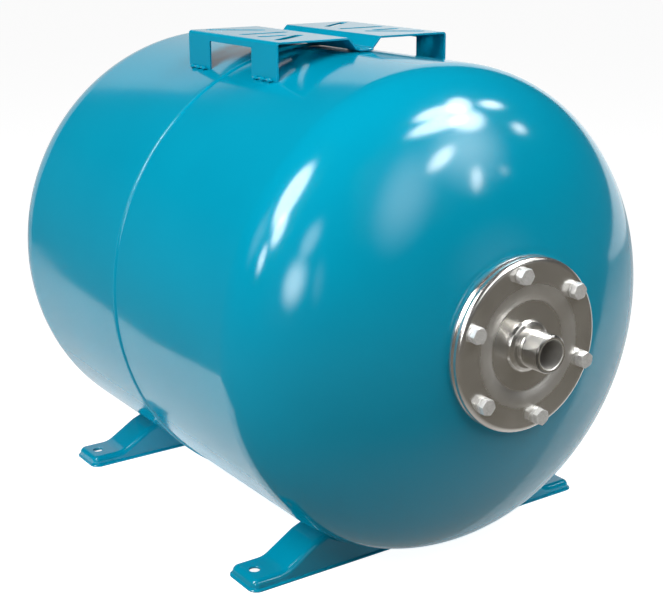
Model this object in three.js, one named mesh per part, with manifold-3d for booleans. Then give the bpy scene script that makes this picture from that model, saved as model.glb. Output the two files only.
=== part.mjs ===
// A horizontal expansion vessel for a pressurised water system. Millimetres, +Z up.
//
// Two deep-drawn steel shells make the tank. It stands on two pressed feet and carries a pump bracket on
// its crown. At the front (-Y) a bolted flange clamps the lip of the rubber bladder that holds the water.
// At the rear (+Y) an air valve under a plastic guard fills the space round the bladder.
//
// Every y below is measured backwards from the front face of the flange plate. The whole vessel is then
// moved so that the origin is on the floor, in the middle of its length.

import * as THREE from "three";
import { mergeVertices } from "three/addons/utils/BufferGeometryUtils.js";
import Module from "manifold-3d";

const wasm = await Module();
wasm.setup();

// ---- Driving dimensions -------------------------------------------------------------------------------

const GAP = 0.3; // between pieces that touch
const FACETS = 48; // round the tank
const FLANGE_FACETS = 36;
const PIN_FACETS = 16; // round the valve's pieces
const HOLE_FACETS = 12; // round bolts, bolt holes and washers
const BAG_FACETS = 24; // round the bladder
const DRILL_MARGIN = 5; // how far a cutter runs past the piece it cuts

const SHELL = {
  radius: 225,
  wall: 1.5,
  axisZ: 229.8, // height of the tank's axis above the floor
  frontTangentY: 128, // where the front dome meets the cylinder
  cylinder: 398,
  domeDepth: 122.8,
  domeSteps: 6,
  landY: 13, // flat land round the mouth
  landRadius: 79,
  mouthRadius: 52,
  seamY: 325,
  lap: 9, // length of the rear shell's lip inside the front shell
  joggle: 5, // length over which that lip steps inwards
};
const REAR_TANGENT_Y = SHELL.frontTangentY + SHELL.cylinder;
const CROWN_Z = SHELL.axisZ + SHELL.radius;

const SEAM_WELD = { width: 5, height: 1.3 };

const FLANGE = {
  radius: 76.5,
  sheet: 2.5,
  rimDepth: 7, // how far the turned rim reaches back
  rimRound: 4,
  stepOuter: 52, // the centre is pressed back between these two radii
  stepInner: 40,
  stepDepth: 2.4,
};

const BOLTS = {
  count: 6,
  circle: 64.5, // radius of the bolt circle
  firstAngle: -10, // degrees from the top, clockwise seen from the front
  radius: 4, // M8
  length: 25,
  headAcrossFlats: 13,
  headHeight: 5.3,
  washerRadius: 7.2,
  washerHeight: 2,
  washerSlit: 1.2,
  clearanceRadius: 4.5,
};

const NIPPLE = {
  radius: 16.62, // 1 inch pipe thread, 33.25 over the crests
  bore: 12.5,
  reach: 27, // in front of the flange face
  tail: 9, // behind it
  chamfer: 1.6,
  collarRadius: 22.5,
  collarTopRadius: 19.7,
  collarHeight: 3.6,
};

const BACKING_RING = { inner: 56.5, frontY: 2.8, rearY: 12.6, stepRadius: 73.6, chamfer: 1.5 };
const COUNTER_FLANGE = { inner: 53.5, outer: 76, thickness: 8, tappedRadius: 4.35 };

const BLADDER = {
  wall: 3,
  lipInner: 45.5,
  lipOuter: 56,
  neckOuter: 49.5,
  neckY: 26,
  shoulderY: 92, // where the bag reaches its full radius
  radius: 132,
  roundY: 372, // where the far end begins to round off
  endY: 474,
};

const FOOT = {
  centresY: { front_foot: 156.9, rear_foot: 491.8 },
  sheet: 2,
  halfWidth: 192, // across the tank, without the bottom lip
  halfDepth: 21.8, // along the tank, without the bottom lip
  lip: 2.4,
  padZ: 10,
  bendX: 158, // end of the flat pad
  shoulderX: 126, // top of the slope
  shoulderZ: 29.5,
  contactX: 112.5, // where the saddle meets the tank
  arcAllowance: 0.3, // a faceted arc lies this much inside its true circle
  cornerRadius: 7,
  holeX: 178.5,
  holeRadius: 5,
};

const BRACKET = {
  frontY: 237.3,
  rearY: 401.5,
  sheet: 2,
  halfWidth: 96.9,
  deckZ: CROWN_Z + 13.7,
  slopeTopX: 17.7,
  slopeBottomX: 8.5,
  windowFrontY: 282,
  windowRearY: 360,
  windowTopZ: CROWN_Z + 5.7,
  slotRadius: 4.3,
};
// One deck's slots, for +X: centre across and along the tank, half length between the end centres, and
// the angle from X in degrees.
const DECK_SLOTS = [
  { x: 61, y: 273, half: 25, angle: -36 },
  { x: 66, y: 295, half: 11, angle: 0 },
  { x: 57, y: 325, half: 22, angle: 0 },
  { x: 60, y: 373, half: 25, angle: 38 },
];

const BEAD = 1.9; // radius of a weld run
const END_MARGIN = 4; // unwelded length at each end of a bracket leg
const FOOT_WELD = { fromAngle: 21, toAngle: 28 }; // degrees from the tank's lowest line

const VALVE = {
  landRadius: 26,
  holeRadius: 8.3,
  bodyRadius: 8,
  collarRadius: 12,
  collarHeight: 3,
  threadLength: 11, // of the large thread, outside the shell
  threadChamfer: 1,
  stemRadius: 3.85, // 8V1 tyre-valve thread
  stemLength: 25, // from the land to the stem's end
  bore: 2.7,
  throat: 1.4,
  seatDepth: 20.5, // of the spring's seat below the stem's end
  sealOuter: 13,
  sealHeight: 2,
  nutAcrossFlats: 22,
  nutHeight: 6,
  coreRadius: 2.4,
  coreBore: 0.95,
  coreTop: 1.6, // below the stem's end
  coreLength: 11,
  pinRadius: 0.6,
  pinTop: 0.5, // below the stem's end
  pinTail: 17.6,
  plungerRadius: 1.9,
  plungerHeight: 2,
  springTurns: 4,
  springRadius: 1.6,
  springWire: 0.28,
  capRadius: 5.6,
  capHeight: 11.5,
  capTop: 2,
  capChamfer: 1,
  capSealHeight: 1,
};

const GUARD = {
  baseRadius: 21,
  baseEdge: 2, // height of the skirt's rim
  skirt: 3.5, // height of the whole skirt
  bodyRadius: 17.2,
  topRadius: 15.6,
  bore: 13.6,
  height: 38,
  top: 2.4,
  chamfer: 2.5,
};

// ---- Materials ------------------------------------------------------------------------------------------

const steelPaint = { color: 0x0b8fb3, roughness: 0.25, metalness: 0.1 };
const zinc = { color: 0xc9c8c2, roughness: 0.3, metalness: 0.9 };
const dullZinc = { color: 0xaeb0ae, roughness: 0.45, metalness: 0.85 };
const butyl = { color: 0x1d1d1f, roughness: 0.8, metalness: 0 };
const brass = { color: 0xb9934b, roughness: 0.35, metalness: 0.9 };
const springSteel = { color: 0x9a9c9e, roughness: 0.35, metalness: 0.9 };
const blackPlastic = { color: 0x17181a, roughness: 0.5, metalness: 0 };

// ---- Solid helpers --------------------------------------------------------------------------------------

// A manifold solid from a closed geometry: only positions are kept, shared vertices are merged, and the
// slivers that a lathe leaves on its axis are dropped.
function toSolid(geometry) {
  const bare = geometry.clone();
  bare.deleteAttribute("normal");
  bare.deleteAttribute("uv");
  const merged = mergeVertices(bare, 1e-4);
  const index = merged.index.array;
  const kept = [];
  for (let i = 0; i < index.length; i += 3) {
    const [a, b, c] = [index[i], index[i + 1], index[i + 2]];
    if (a !== b && b !== c && c !== a) kept.push(a, b, c);
  }
  return new wasm.Manifold(
    new wasm.Mesh({
      numProp: 3,
      vertProperties: merged.attributes.position.array,
      triVerts: new Uint32Array(kept),
    }),
  );
}

function toGeometry(solid) {
  const mesh = solid.getMesh();
  const geometry = new THREE.BufferGeometry();
  geometry.setAttribute("position", new THREE.BufferAttribute(mesh.vertProperties, 3));
  geometry.setIndex(new THREE.BufferAttribute(mesh.triVerts, 1));
  geometry.computeVertexNormals();
  return geometry;
}

function cut(geometry, cutters) {
  let solid = toSolid(geometry);
  for (const cutter of cutters) solid = solid.subtract(toSolid(cutter));
  return toGeometry(solid);
}

function join(first, second) {
  return toGeometry(toSolid(first).add(toSolid(second)));
}

function overlapOf(first, second) {
  return toGeometry(toSolid(first).intersect(toSolid(second)));
}

// A piece turned about a line along Y, from [radius, y] points. The profile starts and ends on the axis,
// or its last point repeats the first.
function turned(profile, facets = PIN_FACETS) {
  let area = 0;
  profile.forEach(([r, y], i) => {
    const [nextR, nextY] = profile[(i + 1) % profile.length];
    area += r * nextY - nextR * y;
  });
  const ordered = area > 0 ? profile : [...profile].reverse();
  return new THREE.LatheGeometry(
    ordered.map(([r, y]) => new THREE.Vector2(r, y)),
    facets,
  );
}

// A ring with a rectangular section between two radii and two y's.
function ring(inner, outer, y0, y1, facets = PIN_FACETS) {
  const section = [
    [inner, y0],
    [outer, y0],
    [outer, y1],
    [inner, y1],
    [inner, y0],
  ];
  return turned(section, facets);
}

// A rod along Y that can also serve as a drill.
function rod(radius, y0, y1, facets = PIN_FACETS) {
  const geometry = new THREE.CylinderGeometry(radius, radius, y1 - y0, facets);
  return geometry.translate(0, (y0 + y1) / 2, 0);
}

function hexagon(acrossFlats, y0, y1) {
  return rod(acrossFlats / Math.sqrt(3), y0, y1, 6);
}

// An outline in X and Z, pushed along Y from y0 to y1.
function alongY(shape, y0, y1, curveSegments = 12) {
  const depth = y1 - y0;
  const geometry = new THREE.ExtrudeGeometry(shape, { depth, bevelEnabled: false, curveSegments });
  return geometry.rotateX(Math.PI / 2).translate(0, y1, 0);
}

// An outline in X and Y, pushed up from z0 to z1.
function alongZ(shape, z0, z1, curveSegments = 4) {
  const depth = z1 - z0;
  const geometry = new THREE.ExtrudeGeometry(shape, { depth, bevelEnabled: false, curveSegments });
  return geometry.translate(0, 0, z0);
}

function box(x0, x1, y0, y1, z0, z1) {
  const geometry = new THREE.BoxGeometry(x1 - x0, y1 - y0, z1 - z0);
  return geometry.translate((x0 + x1) / 2, (y0 + y1) / 2, (z0 + z1) / 2);
}

function roundedRectangle(halfX, halfY, radius) {
  const shape = new THREE.Shape();
  const [x, y] = [halfX - radius, halfY - radius];
  shape.absarc(x, -y, radius, -Math.PI / 2, 0);
  shape.absarc(x, y, radius, 0, Math.PI / 2);
  shape.absarc(-x, y, radius, Math.PI / 2, Math.PI);
  shape.absarc(-x, -y, radius, Math.PI, 1.5 * Math.PI);
  return shape;
}

const radians = THREE.MathUtils.degToRad;

// Points round a quarter ellipse in radius and y, from its end on the y side to its end on the radius side.
function quarter(centreR, centreY, reachR, reachY, steps) {
  return Array.from({ length: steps + 1 }, (_, i) => {
    const angle = ((Math.PI / 2) * i) / steps;
    return [centreR + reachR * Math.sin(angle), centreY + reachY * Math.cos(angle)];
  });
}

// ---- The tank -------------------------------------------------------------------------------------------

// Points down an elliptical dome from radius `from` to the tangent line. `back` is -1 for a dome that
// bulges to the front and 1 for one that bulges to the rear.
function dome(radius, depth, tangentY, back, from) {
  const start = Math.asin(from / radius);
  const points = [];
  for (let i = 0; i <= SHELL.domeSteps; i++) {
    const angle = start + ((Math.PI / 2 - start) * i) / SHELL.domeSteps;
    points.push([radius * Math.sin(angle), tangentY + back * depth * Math.cos(angle)]);
  }
  return points;
}

const rearLandY =
  REAR_TANGENT_Y +
  SHELL.domeDepth * Math.sqrt(1 - (VALVE.landRadius / SHELL.radius) ** 2);

function boltCentres() {
  return Array.from({ length: BOLTS.count }, (_, i) => {
    const angle = radians(BOLTS.firstAngle + (360 / BOLTS.count) * i);
    return [BOLTS.circle * Math.sin(angle), BOLTS.circle * Math.cos(angle)];
  });
}

function boltHoles(radius, y0, y1) {
  return boltCentres().map(([x, z]) => rod(radius, y0, y1, HOLE_FACETS).translate(x, 0, z));
}

function frontShell() {
  const { radius, wall, landY, landRadius, mouthRadius, seamY, frontTangentY, domeDepth } = SHELL;
  const outer = dome(radius, domeDepth, frontTangentY, -1, landRadius);
  const inner = dome(radius - wall, domeDepth - wall, frontTangentY, -1, landRadius);
  const profile = [
    [mouthRadius, landY],
    [landRadius, landY],
    ...outer.slice(1),
    [radius, seamY],
    [radius - wall, seamY],
    ...inner.slice(1).reverse(),
    [landRadius, landY + wall],
    [mouthRadius, landY + wall],
    [mouthRadius, landY],
  ];
  const holes = boltHoles(BOLTS.clearanceRadius, landY - DRILL_MARGIN, landY + DRILL_MARGIN);
  return cut(turned(profile, FACETS), holes);
}

function rearShell() {
  const { radius, wall, seamY, lap, joggle, domeDepth } = SHELL;
  const lipRadius = radius - wall - GAP;
  const outer = dome(radius, domeDepth, REAR_TANGENT_Y, 1, VALVE.landRadius);
  const inner = dome(radius - wall, domeDepth - wall, REAR_TANGENT_Y, 1, VALVE.landRadius);
  const profile = [
    [VALVE.holeRadius, rearLandY],
    [VALVE.landRadius, rearLandY],
    ...outer.slice(1),
    [radius, seamY + joggle],
    [lipRadius, seamY + GAP],
    [lipRadius, seamY - lap],
    [lipRadius - wall, seamY - lap],
    [lipRadius - wall, seamY + GAP],
    [radius - wall, seamY + joggle],
    ...inner.slice(1).reverse(),
    [VALVE.landRadius, rearLandY - wall],
    [VALVE.holeRadius, rearLandY - wall],
    [VALVE.holeRadius, rearLandY],
  ];
  return turned(profile, FACETS);
}

// The weld over the seam is a low crowned band.
function girthWeld() {
  const inner = SHELL.radius + GAP;
  const half = SEAM_WELD.width / 2;
  const crown = [-1, -0.5, 0, 0.5, 1].map((t) => {
    return [inner + SEAM_WELD.height * (1 - t * t), SHELL.seamY + half * t];
  });
  return turned([...crown, crown[0]], FACETS);
}

// ---- The flange -----------------------------------------------------------------------------------------

function flangePlate() {
  const { radius, sheet, rimDepth, rimRound, stepOuter, stepInner, stepDepth } = FLANGE;
  const hole = NIPPLE.radius + GAP;
  const profile = [
    [hole, stepDepth],
    [stepInner, stepDepth],
    [stepOuter, 0],
    ...quarter(radius - rimRound, rimRound, rimRound, -rimRound, 2),
    [radius, rimDepth],
    [radius - sheet, rimDepth],
    [radius - sheet, rimRound],
    [radius - rimRound, sheet],
    [stepOuter + 1, sheet],
    [stepInner + 1, stepDepth + sheet],
    [hole, stepDepth + sheet],
    [hole, stepDepth],
  ];
  const holes = boltHoles(BOLTS.clearanceRadius, -DRILL_MARGIN, sheet + DRILL_MARGIN);
  return cut(turned(profile, FLANGE_FACETS), holes);
}

// The bright ring between the plate and the shell: it fills the plate's rim and shows behind it.
function backingRing() {
  const { inner, frontY, rearY, stepRadius, chamfer } = BACKING_RING;
  const shoulderY = FLANGE.rimDepth + GAP;
  const profile = [
    [inner, frontY],
    [stepRadius - chamfer, frontY],
    [stepRadius, frontY + chamfer],
    [stepRadius, shoulderY],
    [FLANGE.radius, shoulderY],
    [FLANGE.radius, rearY],
    [inner, rearY],
    [inner, frontY],
  ];
  const holes = boltHoles(BOLTS.clearanceRadius, frontY - DRILL_MARGIN, rearY + DRILL_MARGIN);
  return cut(turned(profile, FLANGE_FACETS), holes);
}

function counterFlange() {
  const y0 = SHELL.landY + SHELL.wall + GAP;
  const y1 = y0 + COUNTER_FLANGE.thickness;
  const plain = ring(COUNTER_FLANGE.inner, COUNTER_FLANGE.outer, y0, y1, FLANGE_FACETS);
  return cut(plain, boltHoles(COUNTER_FLANGE.tappedRadius, y0 - DRILL_MARGIN, y1 + DRILL_MARGIN));
}

// Hexagon head and shank, with the head's bearing face at y = 0 and the shank running to +Y.
function flangeBolt() {
  const head = hexagon(BOLTS.headAcrossFlats, -BOLTS.headHeight, 0);
  return join(head, rod(BOLTS.radius, -BOLTS.headHeight / 2, BOLTS.length, HOLE_FACETS));
}

// A spring washer: a square-section ring, cut through once.
function springWasher() {
  const { radius, washerRadius, washerHeight, washerSlit } = BOLTS;
  const plain = ring(radius + GAP, washerRadius, 0, washerHeight, HOLE_FACETS);
  const y1 = washerHeight + DRILL_MARGIN;
  const slit = box(0, 2 * washerRadius, -DRILL_MARGIN, y1, -washerSlit / 2, washerSlit / 2);
  return cut(plain, [slit]);
}

function connectionNipple() {
  const { radius, bore, reach, tail, chamfer } = NIPPLE;
  const profile = [
    [bore, -reach],
    [radius - chamfer, -reach],
    [radius, -reach + chamfer],
    [radius, tail],
    [bore, tail],
    [bore, -reach],
  ];
  return turned(profile, FLANGE_FACETS);
}

// The raised ring of weld metal where the nipple leaves the plate.
function nippleWeld() {
  const { radius, collarRadius, collarTopRadius, collarHeight } = NIPPLE;
  const rearY = FLANGE.stepDepth - GAP;
  const round = quarter(collarTopRadius, rearY, collarRadius - collarTopRadius, -collarHeight, 2);
  const inner = radius + GAP;
  const profile = [[inner, rearY], [inner, rearY - collarHeight], ...round, [inner, rearY]];
  return turned(profile, FLANGE_FACETS);
}

// The bag is moulded with a thick lip, a neck through the tank's mouth and a round end.
function bladder() {
  const { wall, lipInner, lipOuter, neckOuter, neckY, shoulderY, radius, roundY, endY } = BLADDER;
  const { sheet, stepOuter, stepInner, stepDepth } = FLANGE;
  const lipFront = sheet + GAP;
  const lipRear = SHELL.landY - GAP;
  // Inside the flange's step the lip follows the plate's slope.
  const stepShare = (stepOuter - lipInner) / (stepOuter - stepInner);
  const lipInnerFront = lipFront + GAP + stepShare * stepDepth;
  const steps = 4;
  const inner = radius - wall;
  const profile = [
    ...quarter(0, roundY, inner, endY - wall - roundY, steps),
    ...quarter(lipInner, shoulderY, inner - lipInner, neckY + wall - shoulderY, steps).reverse(),
    [lipInner, lipInnerFront],
    [stepOuter + 1, lipFront],
    [lipOuter, lipFront],
    [lipOuter, lipRear],
    [neckOuter, lipRear],
    ...quarter(neckOuter, shoulderY, radius - neckOuter, neckY - shoulderY, steps),
    ...quarter(0, roundY, radius, endY - roundY, steps).reverse(),
  ];
  return turned(profile, BAG_FACETS);
}

// ---- The feet -------------------------------------------------------------------------------------------

// The line that a foot's sheet follows in X and Z, `under` below its top face, closed along `bottomZ`:
// a flat pad, a slope, a shoulder and then the saddle under the tank, mirrored about the middle.
function footSection(under, halfWidth, bottomZ) {
  const { padZ, bendX, shoulderX, shoulderZ, contactX, arcAllowance } = FOOT;
  const slope = Math.atan2(shoulderZ - padZ, bendX - shoulderX);
  const shift = under * Math.tan(slope / 2);
  const saddleRadius = SHELL.radius + GAP + arcAllowance + under;
  const arcAngle = Math.asin(contactX / saddleRadius);
  const side = [
    [halfWidth, bottomZ],
    [halfWidth, padZ - under],
    [bendX - shift, padZ - under],
    [shoulderX - shift, shoulderZ - under],
  ];
  const shape = new THREE.Shape();
  shape.moveTo(-halfWidth, bottomZ);
  for (const [x, z] of side.slice(1)) shape.lineTo(-x, z);
  shape.absarc(0, SHELL.axisZ, saddleRadius, -Math.PI / 2 - arcAngle, -Math.PI / 2 + arcAngle, false);
  for (const [x, z] of [...side].reverse()) shape.lineTo(x, z);
  shape.closePath();
  return shape;
}

// A pressed channel, open below, with a narrow outward lip along its bottom edge.
function foot() {
  const { sheet, halfWidth, halfDepth, lip, cornerRadius, holeX, holeRadius, contactX, padZ } = FOOT;
  const tall = contactX;
  const outerBlock = alongY(footSection(0, halfWidth, 0), -halfDepth, halfDepth);
  const outerPlan = alongZ(roundedRectangle(halfWidth, halfDepth, cornerRadius), -DRILL_MARGIN, tall);
  const body = overlapOf(outerBlock, outerPlan);
  const lipPlan = roundedRectangle(halfWidth + lip, halfDepth + lip, cornerRadius + lip);
  const innerX = halfWidth - sheet;
  const innerY = halfDepth - sheet;
  const innerBlock = alongY(footSection(sheet, innerX, -DRILL_MARGIN), -innerY, innerY);
  const innerPlan = alongZ(roundedRectangle(innerX, innerY, cornerRadius - sheet), -2 * DRILL_MARGIN, tall);
  const hollow = overlapOf(innerBlock, innerPlan);
  const holes = [-holeX, holeX].map((x) => {
    return rod(holeRadius, 0, padZ + DRILL_MARGIN).rotateX(Math.PI / 2).translate(x, 0, 0);
  });
  return cut(join(body, alongZ(lipPlan, 0, sheet)), [hollow, ...holes]);
}

// A short run of weld along the tank's underside, in front of a foot's front wall.
function footWeld(side) {
  const pathRadius = SHELL.radius + GAP + BEAD;
  const fromAngle = radians(-90 + side * FOOT_WELD.fromAngle);
  const toAngle = radians(-90 + side * FOOT_WELD.toAngle);
  const along = new THREE.EllipseCurve(0, 0, pathRadius, pathRadius, fromAngle, toAngle, side < 0);
  const points = along.getPoints(6).map(({ x, y }) => new THREE.Vector3(x, 0, y));
  const section = new THREE.Shape().absarc(0, 0, BEAD, 0, 2 * Math.PI);
  return new THREE.ExtrudeGeometry(section, {
    steps: 8,
    curveSegments: 4,
    bevelEnabled: false,
    extrudePath: new THREE.CatmullRomCurve3(points),
  });
}

// ---- The pump bracket -----------------------------------------------------------------------------------

// Half of the bent sheet's line in X and Z, `inset` below its top face, from the leg's foot to the middle
// of the valley, which rests on the girth weld.
function bracketLine(inset) {
  const { halfWidth, deckZ, slopeTopX, slopeBottomX, sheet } = BRACKET;
  const legX = halfWidth - inset;
  const legZ = SHELL.axisZ + Math.sqrt((SHELL.radius + GAP) ** 2 - legX ** 2);
  const valleyTop = CROWN_Z + GAP + SEAM_WELD.height + GAP + sheet;
  const slope = Math.atan2(deckZ - valleyTop, slopeTopX - slopeBottomX);
  const shift = inset * Math.tan(slope / 2);
  return [
    [legX, legZ],
    [legX, deckZ - inset],
    [slopeTopX + shift, deckZ - inset],
    [slopeBottomX + shift, valleyTop - inset],
  ];
}

function bracketSection() {
  const top = bracketLine(0);
  const bottom = bracketLine(BRACKET.sheet);
  const mirrored = (line) => line.map(([x, z]) => [-x, z]);
  const outline = [...mirrored(top), ...[...top].reverse(), ...bottom, ...mirrored(bottom).reverse()];
  return new THREE.Shape(outline.map(([x, z]) => new THREE.Vector2(x, z)));
}

function deckSlot({ x, y, half, angle }, side) {
  const { slotRadius, deckZ } = BRACKET;
  const shape = new THREE.Shape();
  shape.absarc(half, 0, slotRadius, -Math.PI / 2, Math.PI / 2);
  shape.absarc(-half, 0, slotRadius, Math.PI / 2, 1.5 * Math.PI);
  const slot = alongZ(shape, deckZ - DRILL_MARGIN, deckZ + DRILL_MARGIN);
  return slot.rotateZ(side * radians(angle)).translate(side * x, y, 0);
}

// The legs of each side are what two windows, one through each side wall, leave standing.
function pumpBracket() {
  const { frontY, rearY, halfWidth, slopeTopX, windowFrontY, windowRearY, windowTopZ } = BRACKET;
  const windows = [-1, 1].map((side) => {
    const [x0, x1] = [side * slopeTopX, side * (halfWidth + DRILL_MARGIN)].sort((a, b) => a - b);
    return box(x0, x1, windowFrontY, windowRearY, SHELL.axisZ, windowTopZ);
  });
  const slots = [-1, 1].flatMap((side) => DECK_SLOTS.map((slot) => deckSlot(slot, side)));
  return cut(alongY(bracketSection(), frontY, rearY), [...windows, ...slots]);
}

// A run of `length` with three swellings, where the torch dwelt.
function weldRun(length) {
  const swellings = 3;
  const steps = 3 * swellings;
  const waist = 0.45; // of the bead's radius, between swellings
  const profile = [[0, -length / 2]];
  for (let i = 0; i <= steps; i++) {
    const along = i / steps;
    const swell = Math.abs(Math.sin(swellings * Math.PI * along));
    profile.push([BEAD * (waist + (1 - waist) * swell), (along - 0.5) * (length - BEAD)]);
  }
  profile.push([0, length / 2]);
  return turned(profile, 6);
}

// ---- The air valve --------------------------------------------------------------------------------------

const stemEnd = rearLandY + VALVE.stemLength;

// A stepped tube: a collar inside the shell, the large thread through it, and the tyre-valve stem.
function valveBody() {
  const { bodyRadius, collarRadius, collarHeight, threadLength, threadChamfer } = VALVE;
  const { stemRadius, bore, throat, seatDepth } = VALVE;
  const collarY = rearLandY - SHELL.wall - GAP;
  const seatY = stemEnd - seatDepth;
  const profile = [
    [throat, collarY - collarHeight],
    [collarRadius, collarY - collarHeight],
    [collarRadius, collarY],
    [bodyRadius, collarY],
    [bodyRadius, rearLandY + threadLength - threadChamfer],
    [bodyRadius - threadChamfer, rearLandY + threadLength],
    [stemRadius, rearLandY + threadLength],
    [stemRadius, stemEnd],
    [bore, stemEnd],
    [bore, seatY],
    [throat, seatY],
    [throat, collarY - collarHeight],
  ];
  return turned(profile);
}

const sealFrontY = rearLandY + GAP;
const nutFrontY = sealFrontY + VALVE.sealHeight + GAP;

function valveNut() {
  const { nutAcrossFlats, nutHeight, bodyRadius } = VALVE;
  const rearY = nutFrontY + nutHeight;
  const hole = rod(bodyRadius + GAP, nutFrontY - DRILL_MARGIN, rearY + DRILL_MARGIN);
  return cut(hexagon(nutAcrossFlats, nutFrontY, rearY), [hole]);
}

const coreTopY = stemEnd - VALVE.coreTop;
const coreBottomY = coreTopY - VALVE.coreLength;
const plungerTopY = coreBottomY - GAP;
const plungerBottomY = plungerTopY - VALVE.plungerHeight;

// The pin runs through the core and carries the plunger that seals its lower end.
function valvePin() {
  const { pinRadius, pinTop, pinTail, plungerRadius } = VALVE;
  const profile = [
    [0, stemEnd - pinTail],
    [pinRadius, stemEnd - pinTail],
    [pinRadius, plungerBottomY],
    [plungerRadius, plungerBottomY],
    [plungerRadius, plungerTopY],
    [pinRadius, plungerTopY],
    [pinRadius, stemEnd - pinTop],
    [0, stemEnd - pinTop],
  ];
  return turned(profile);
}

class Helix extends THREE.Curve {
  constructor(radius, turns, y0, y1) {
    super();
    Object.assign(this, { radius, turns, y0, y1 });
  }

  getPoint(t, target = new THREE.Vector3()) {
    const angle = 2 * Math.PI * this.turns * t;
    const y = this.y0 + (this.y1 - this.y0) * t;
    return target.set(this.radius * Math.cos(angle), y, this.radius * Math.sin(angle));
  }
}

function valveSpring() {
  const { springWire, springRadius, springTurns, seatDepth } = VALVE;
  const clear = springWire + GAP;
  const path = new Helix(springRadius, springTurns, stemEnd - seatDepth + clear, plungerBottomY - clear);
  const section = new THREE.Shape().absarc(0, 0, springWire, 0, 2 * Math.PI);
  const options = { steps: 32, curveSegments: 3, bevelEnabled: false, extrudePath: path };
  return new THREE.ExtrudeGeometry(section, options);
}

const capSealY = stemEnd + GAP;
const capInnerTopY = capSealY + VALVE.capSealHeight + GAP;

function valveCap() {
  const { capRadius, capHeight, capTop, capChamfer, stemRadius } = VALVE;
  const endY = capInnerTopY + capTop;
  const bore = stemRadius + GAP;
  const profile = [
    [0, capInnerTopY],
    [bore, capInnerTopY],
    [bore, endY - capHeight],
    [capRadius, endY - capHeight],
    [capRadius, endY - capChamfer],
    [capRadius - capChamfer, endY],
    [0, endY],
  ];
  return turned(profile);
}

// The guard pushes over the nut and hides the valve.
function valveGuard() {
  const { baseRadius, baseEdge, skirt, bodyRadius, topRadius, bore, height, top, chamfer } = GUARD;
  const y0 = rearLandY + GAP;
  const y1 = y0 + height;
  const profile = [
    [0, y1 - top],
    [bore, y1 - top],
    [bore, y0],
    [baseRadius, y0],
    [baseRadius, y0 + baseEdge],
    [bodyRadius, y0 + skirt],
    [topRadius, y1 - chamfer],
    [topRadius - chamfer, y1],
    [0, y1],
  ];
  return turned(profile, BAG_FACETS);
}

// ---- Assembly -------------------------------------------------------------------------------------------

const vessel = new THREE.Group();
const tank = new THREE.Group(); // pieces placed from the tank's axis
tank.position.z = SHELL.axisZ;
vessel.add(tank);

function place(group, name, geometry, material, x = 0, y = 0, z = 0) {
  const mesh = new THREE.Mesh(geometry, new THREE.MeshStandardMaterial(material));
  mesh.name = name;
  mesh.position.set(x, y, z);
  group.add(mesh);
  return mesh;
}

place(tank, "front_shell", frontShell(), steelPaint);
place(tank, "rear_shell", rearShell(), steelPaint);
place(tank, "girth_weld", girthWeld(), steelPaint);

place(tank, "flange_plate", flangePlate(), zinc);
place(tank, "backing_ring", backingRing(), zinc);
place(tank, "counter_flange", counterFlange(), dullZinc);
place(tank, "connection_nipple", connectionNipple(), zinc);
place(tank, "nipple_weld", nippleWeld(), zinc);
place(tank, "bladder", bladder(), butyl);

boltCentres().forEach(([x, z], i) => {
  const washerY = -GAP - BOLTS.washerHeight;
  place(tank, `spring_washer_${i + 1}`, springWasher(), zinc, x, washerY, z);
  place(tank, `flange_bolt_${i + 1}`, flangeBolt(), zinc, x, washerY - GAP, z);
});

for (const [name, y] of Object.entries(FOOT.centresY)) {
  place(vessel, name, foot(), steelPaint, 0, y, 0);
  const weldY = y - FOOT.halfDepth - GAP - BEAD;
  place(tank, `${name}_weld_left`, footWeld(-1), steelPaint, 0, weldY, 0);
  place(tank, `${name}_weld_right`, footWeld(1), steelPaint, 0, weldY, 0);
}

place(vessel, "pump_bracket", pumpBracket(), steelPaint);
const legs = {
  front: [BRACKET.frontY, BRACKET.windowFrontY],
  rear: [BRACKET.windowRearY, BRACKET.rearY],
};
for (const [end, [y0, y1]] of Object.entries(legs)) {
  for (const [side, sign] of Object.entries({ left: -1, right: 1 })) {
    const x = BRACKET.halfWidth + GAP + BEAD;
    const z = Math.sqrt((SHELL.radius + GAP + BEAD) ** 2 - x ** 2);
    const name = `bracket_weld_${end}_${side}`;
    place(tank, name, weldRun(y1 - y0 - 2 * END_MARGIN), steelPaint, sign * x, (y0 + y1) / 2, z);
  }
}
const crownWelds = { front: BRACKET.frontY - GAP - BEAD, rear: BRACKET.rearY + GAP + BEAD };
for (const [end, y] of Object.entries(crownWelds)) {
  const run = weldRun(2 * BRACKET.slopeBottomX).rotateZ(Math.PI / 2);
  place(tank, `crown_weld_${end}`, run, steelPaint, 0, y, SHELL.radius + GAP + BEAD);
}

place(tank, "valve_body", valveBody(), brass);
const sealRearY = sealFrontY + VALVE.sealHeight;
place(tank, "valve_seal", ring(VALVE.bodyRadius + GAP, VALVE.sealOuter, sealFrontY, sealRearY), butyl);
place(tank, "valve_nut", valveNut(), brass);
place(tank, "valve_core", ring(VALVE.coreBore, VALVE.coreRadius, coreBottomY, coreTopY), brass);
place(tank, "valve_pin", valvePin(), brass);
place(tank, "valve_spring", valveSpring(), springSteel);
place(tank, "valve_cap", valveCap(), blackPlastic);
place(tank, "valve_cap_seal", rod(VALVE.stemRadius - GAP, capSealY, capSealY + VALVE.capSealHeight), butyl);
place(tank, "valve_guard", valveGuard(), blackPlastic);

const rearmostY = rearLandY + GAP + GUARD.height;
vessel.position.y = -(rearmostY - NIPPLE.reach) / 2;

export default vessel;
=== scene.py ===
"""The looks of a horizontal expansion vessel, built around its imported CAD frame. Metres, +Z up.

Every piece stands for one CAD node. Round pieces are turned about the tank's axis from a profile of
(radius, y) points; the feet and the pump bracket are pressed and bent sheets.
"""

import math

import bmesh
import bpy
from mathutils import Matrix, Vector, noise

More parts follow.
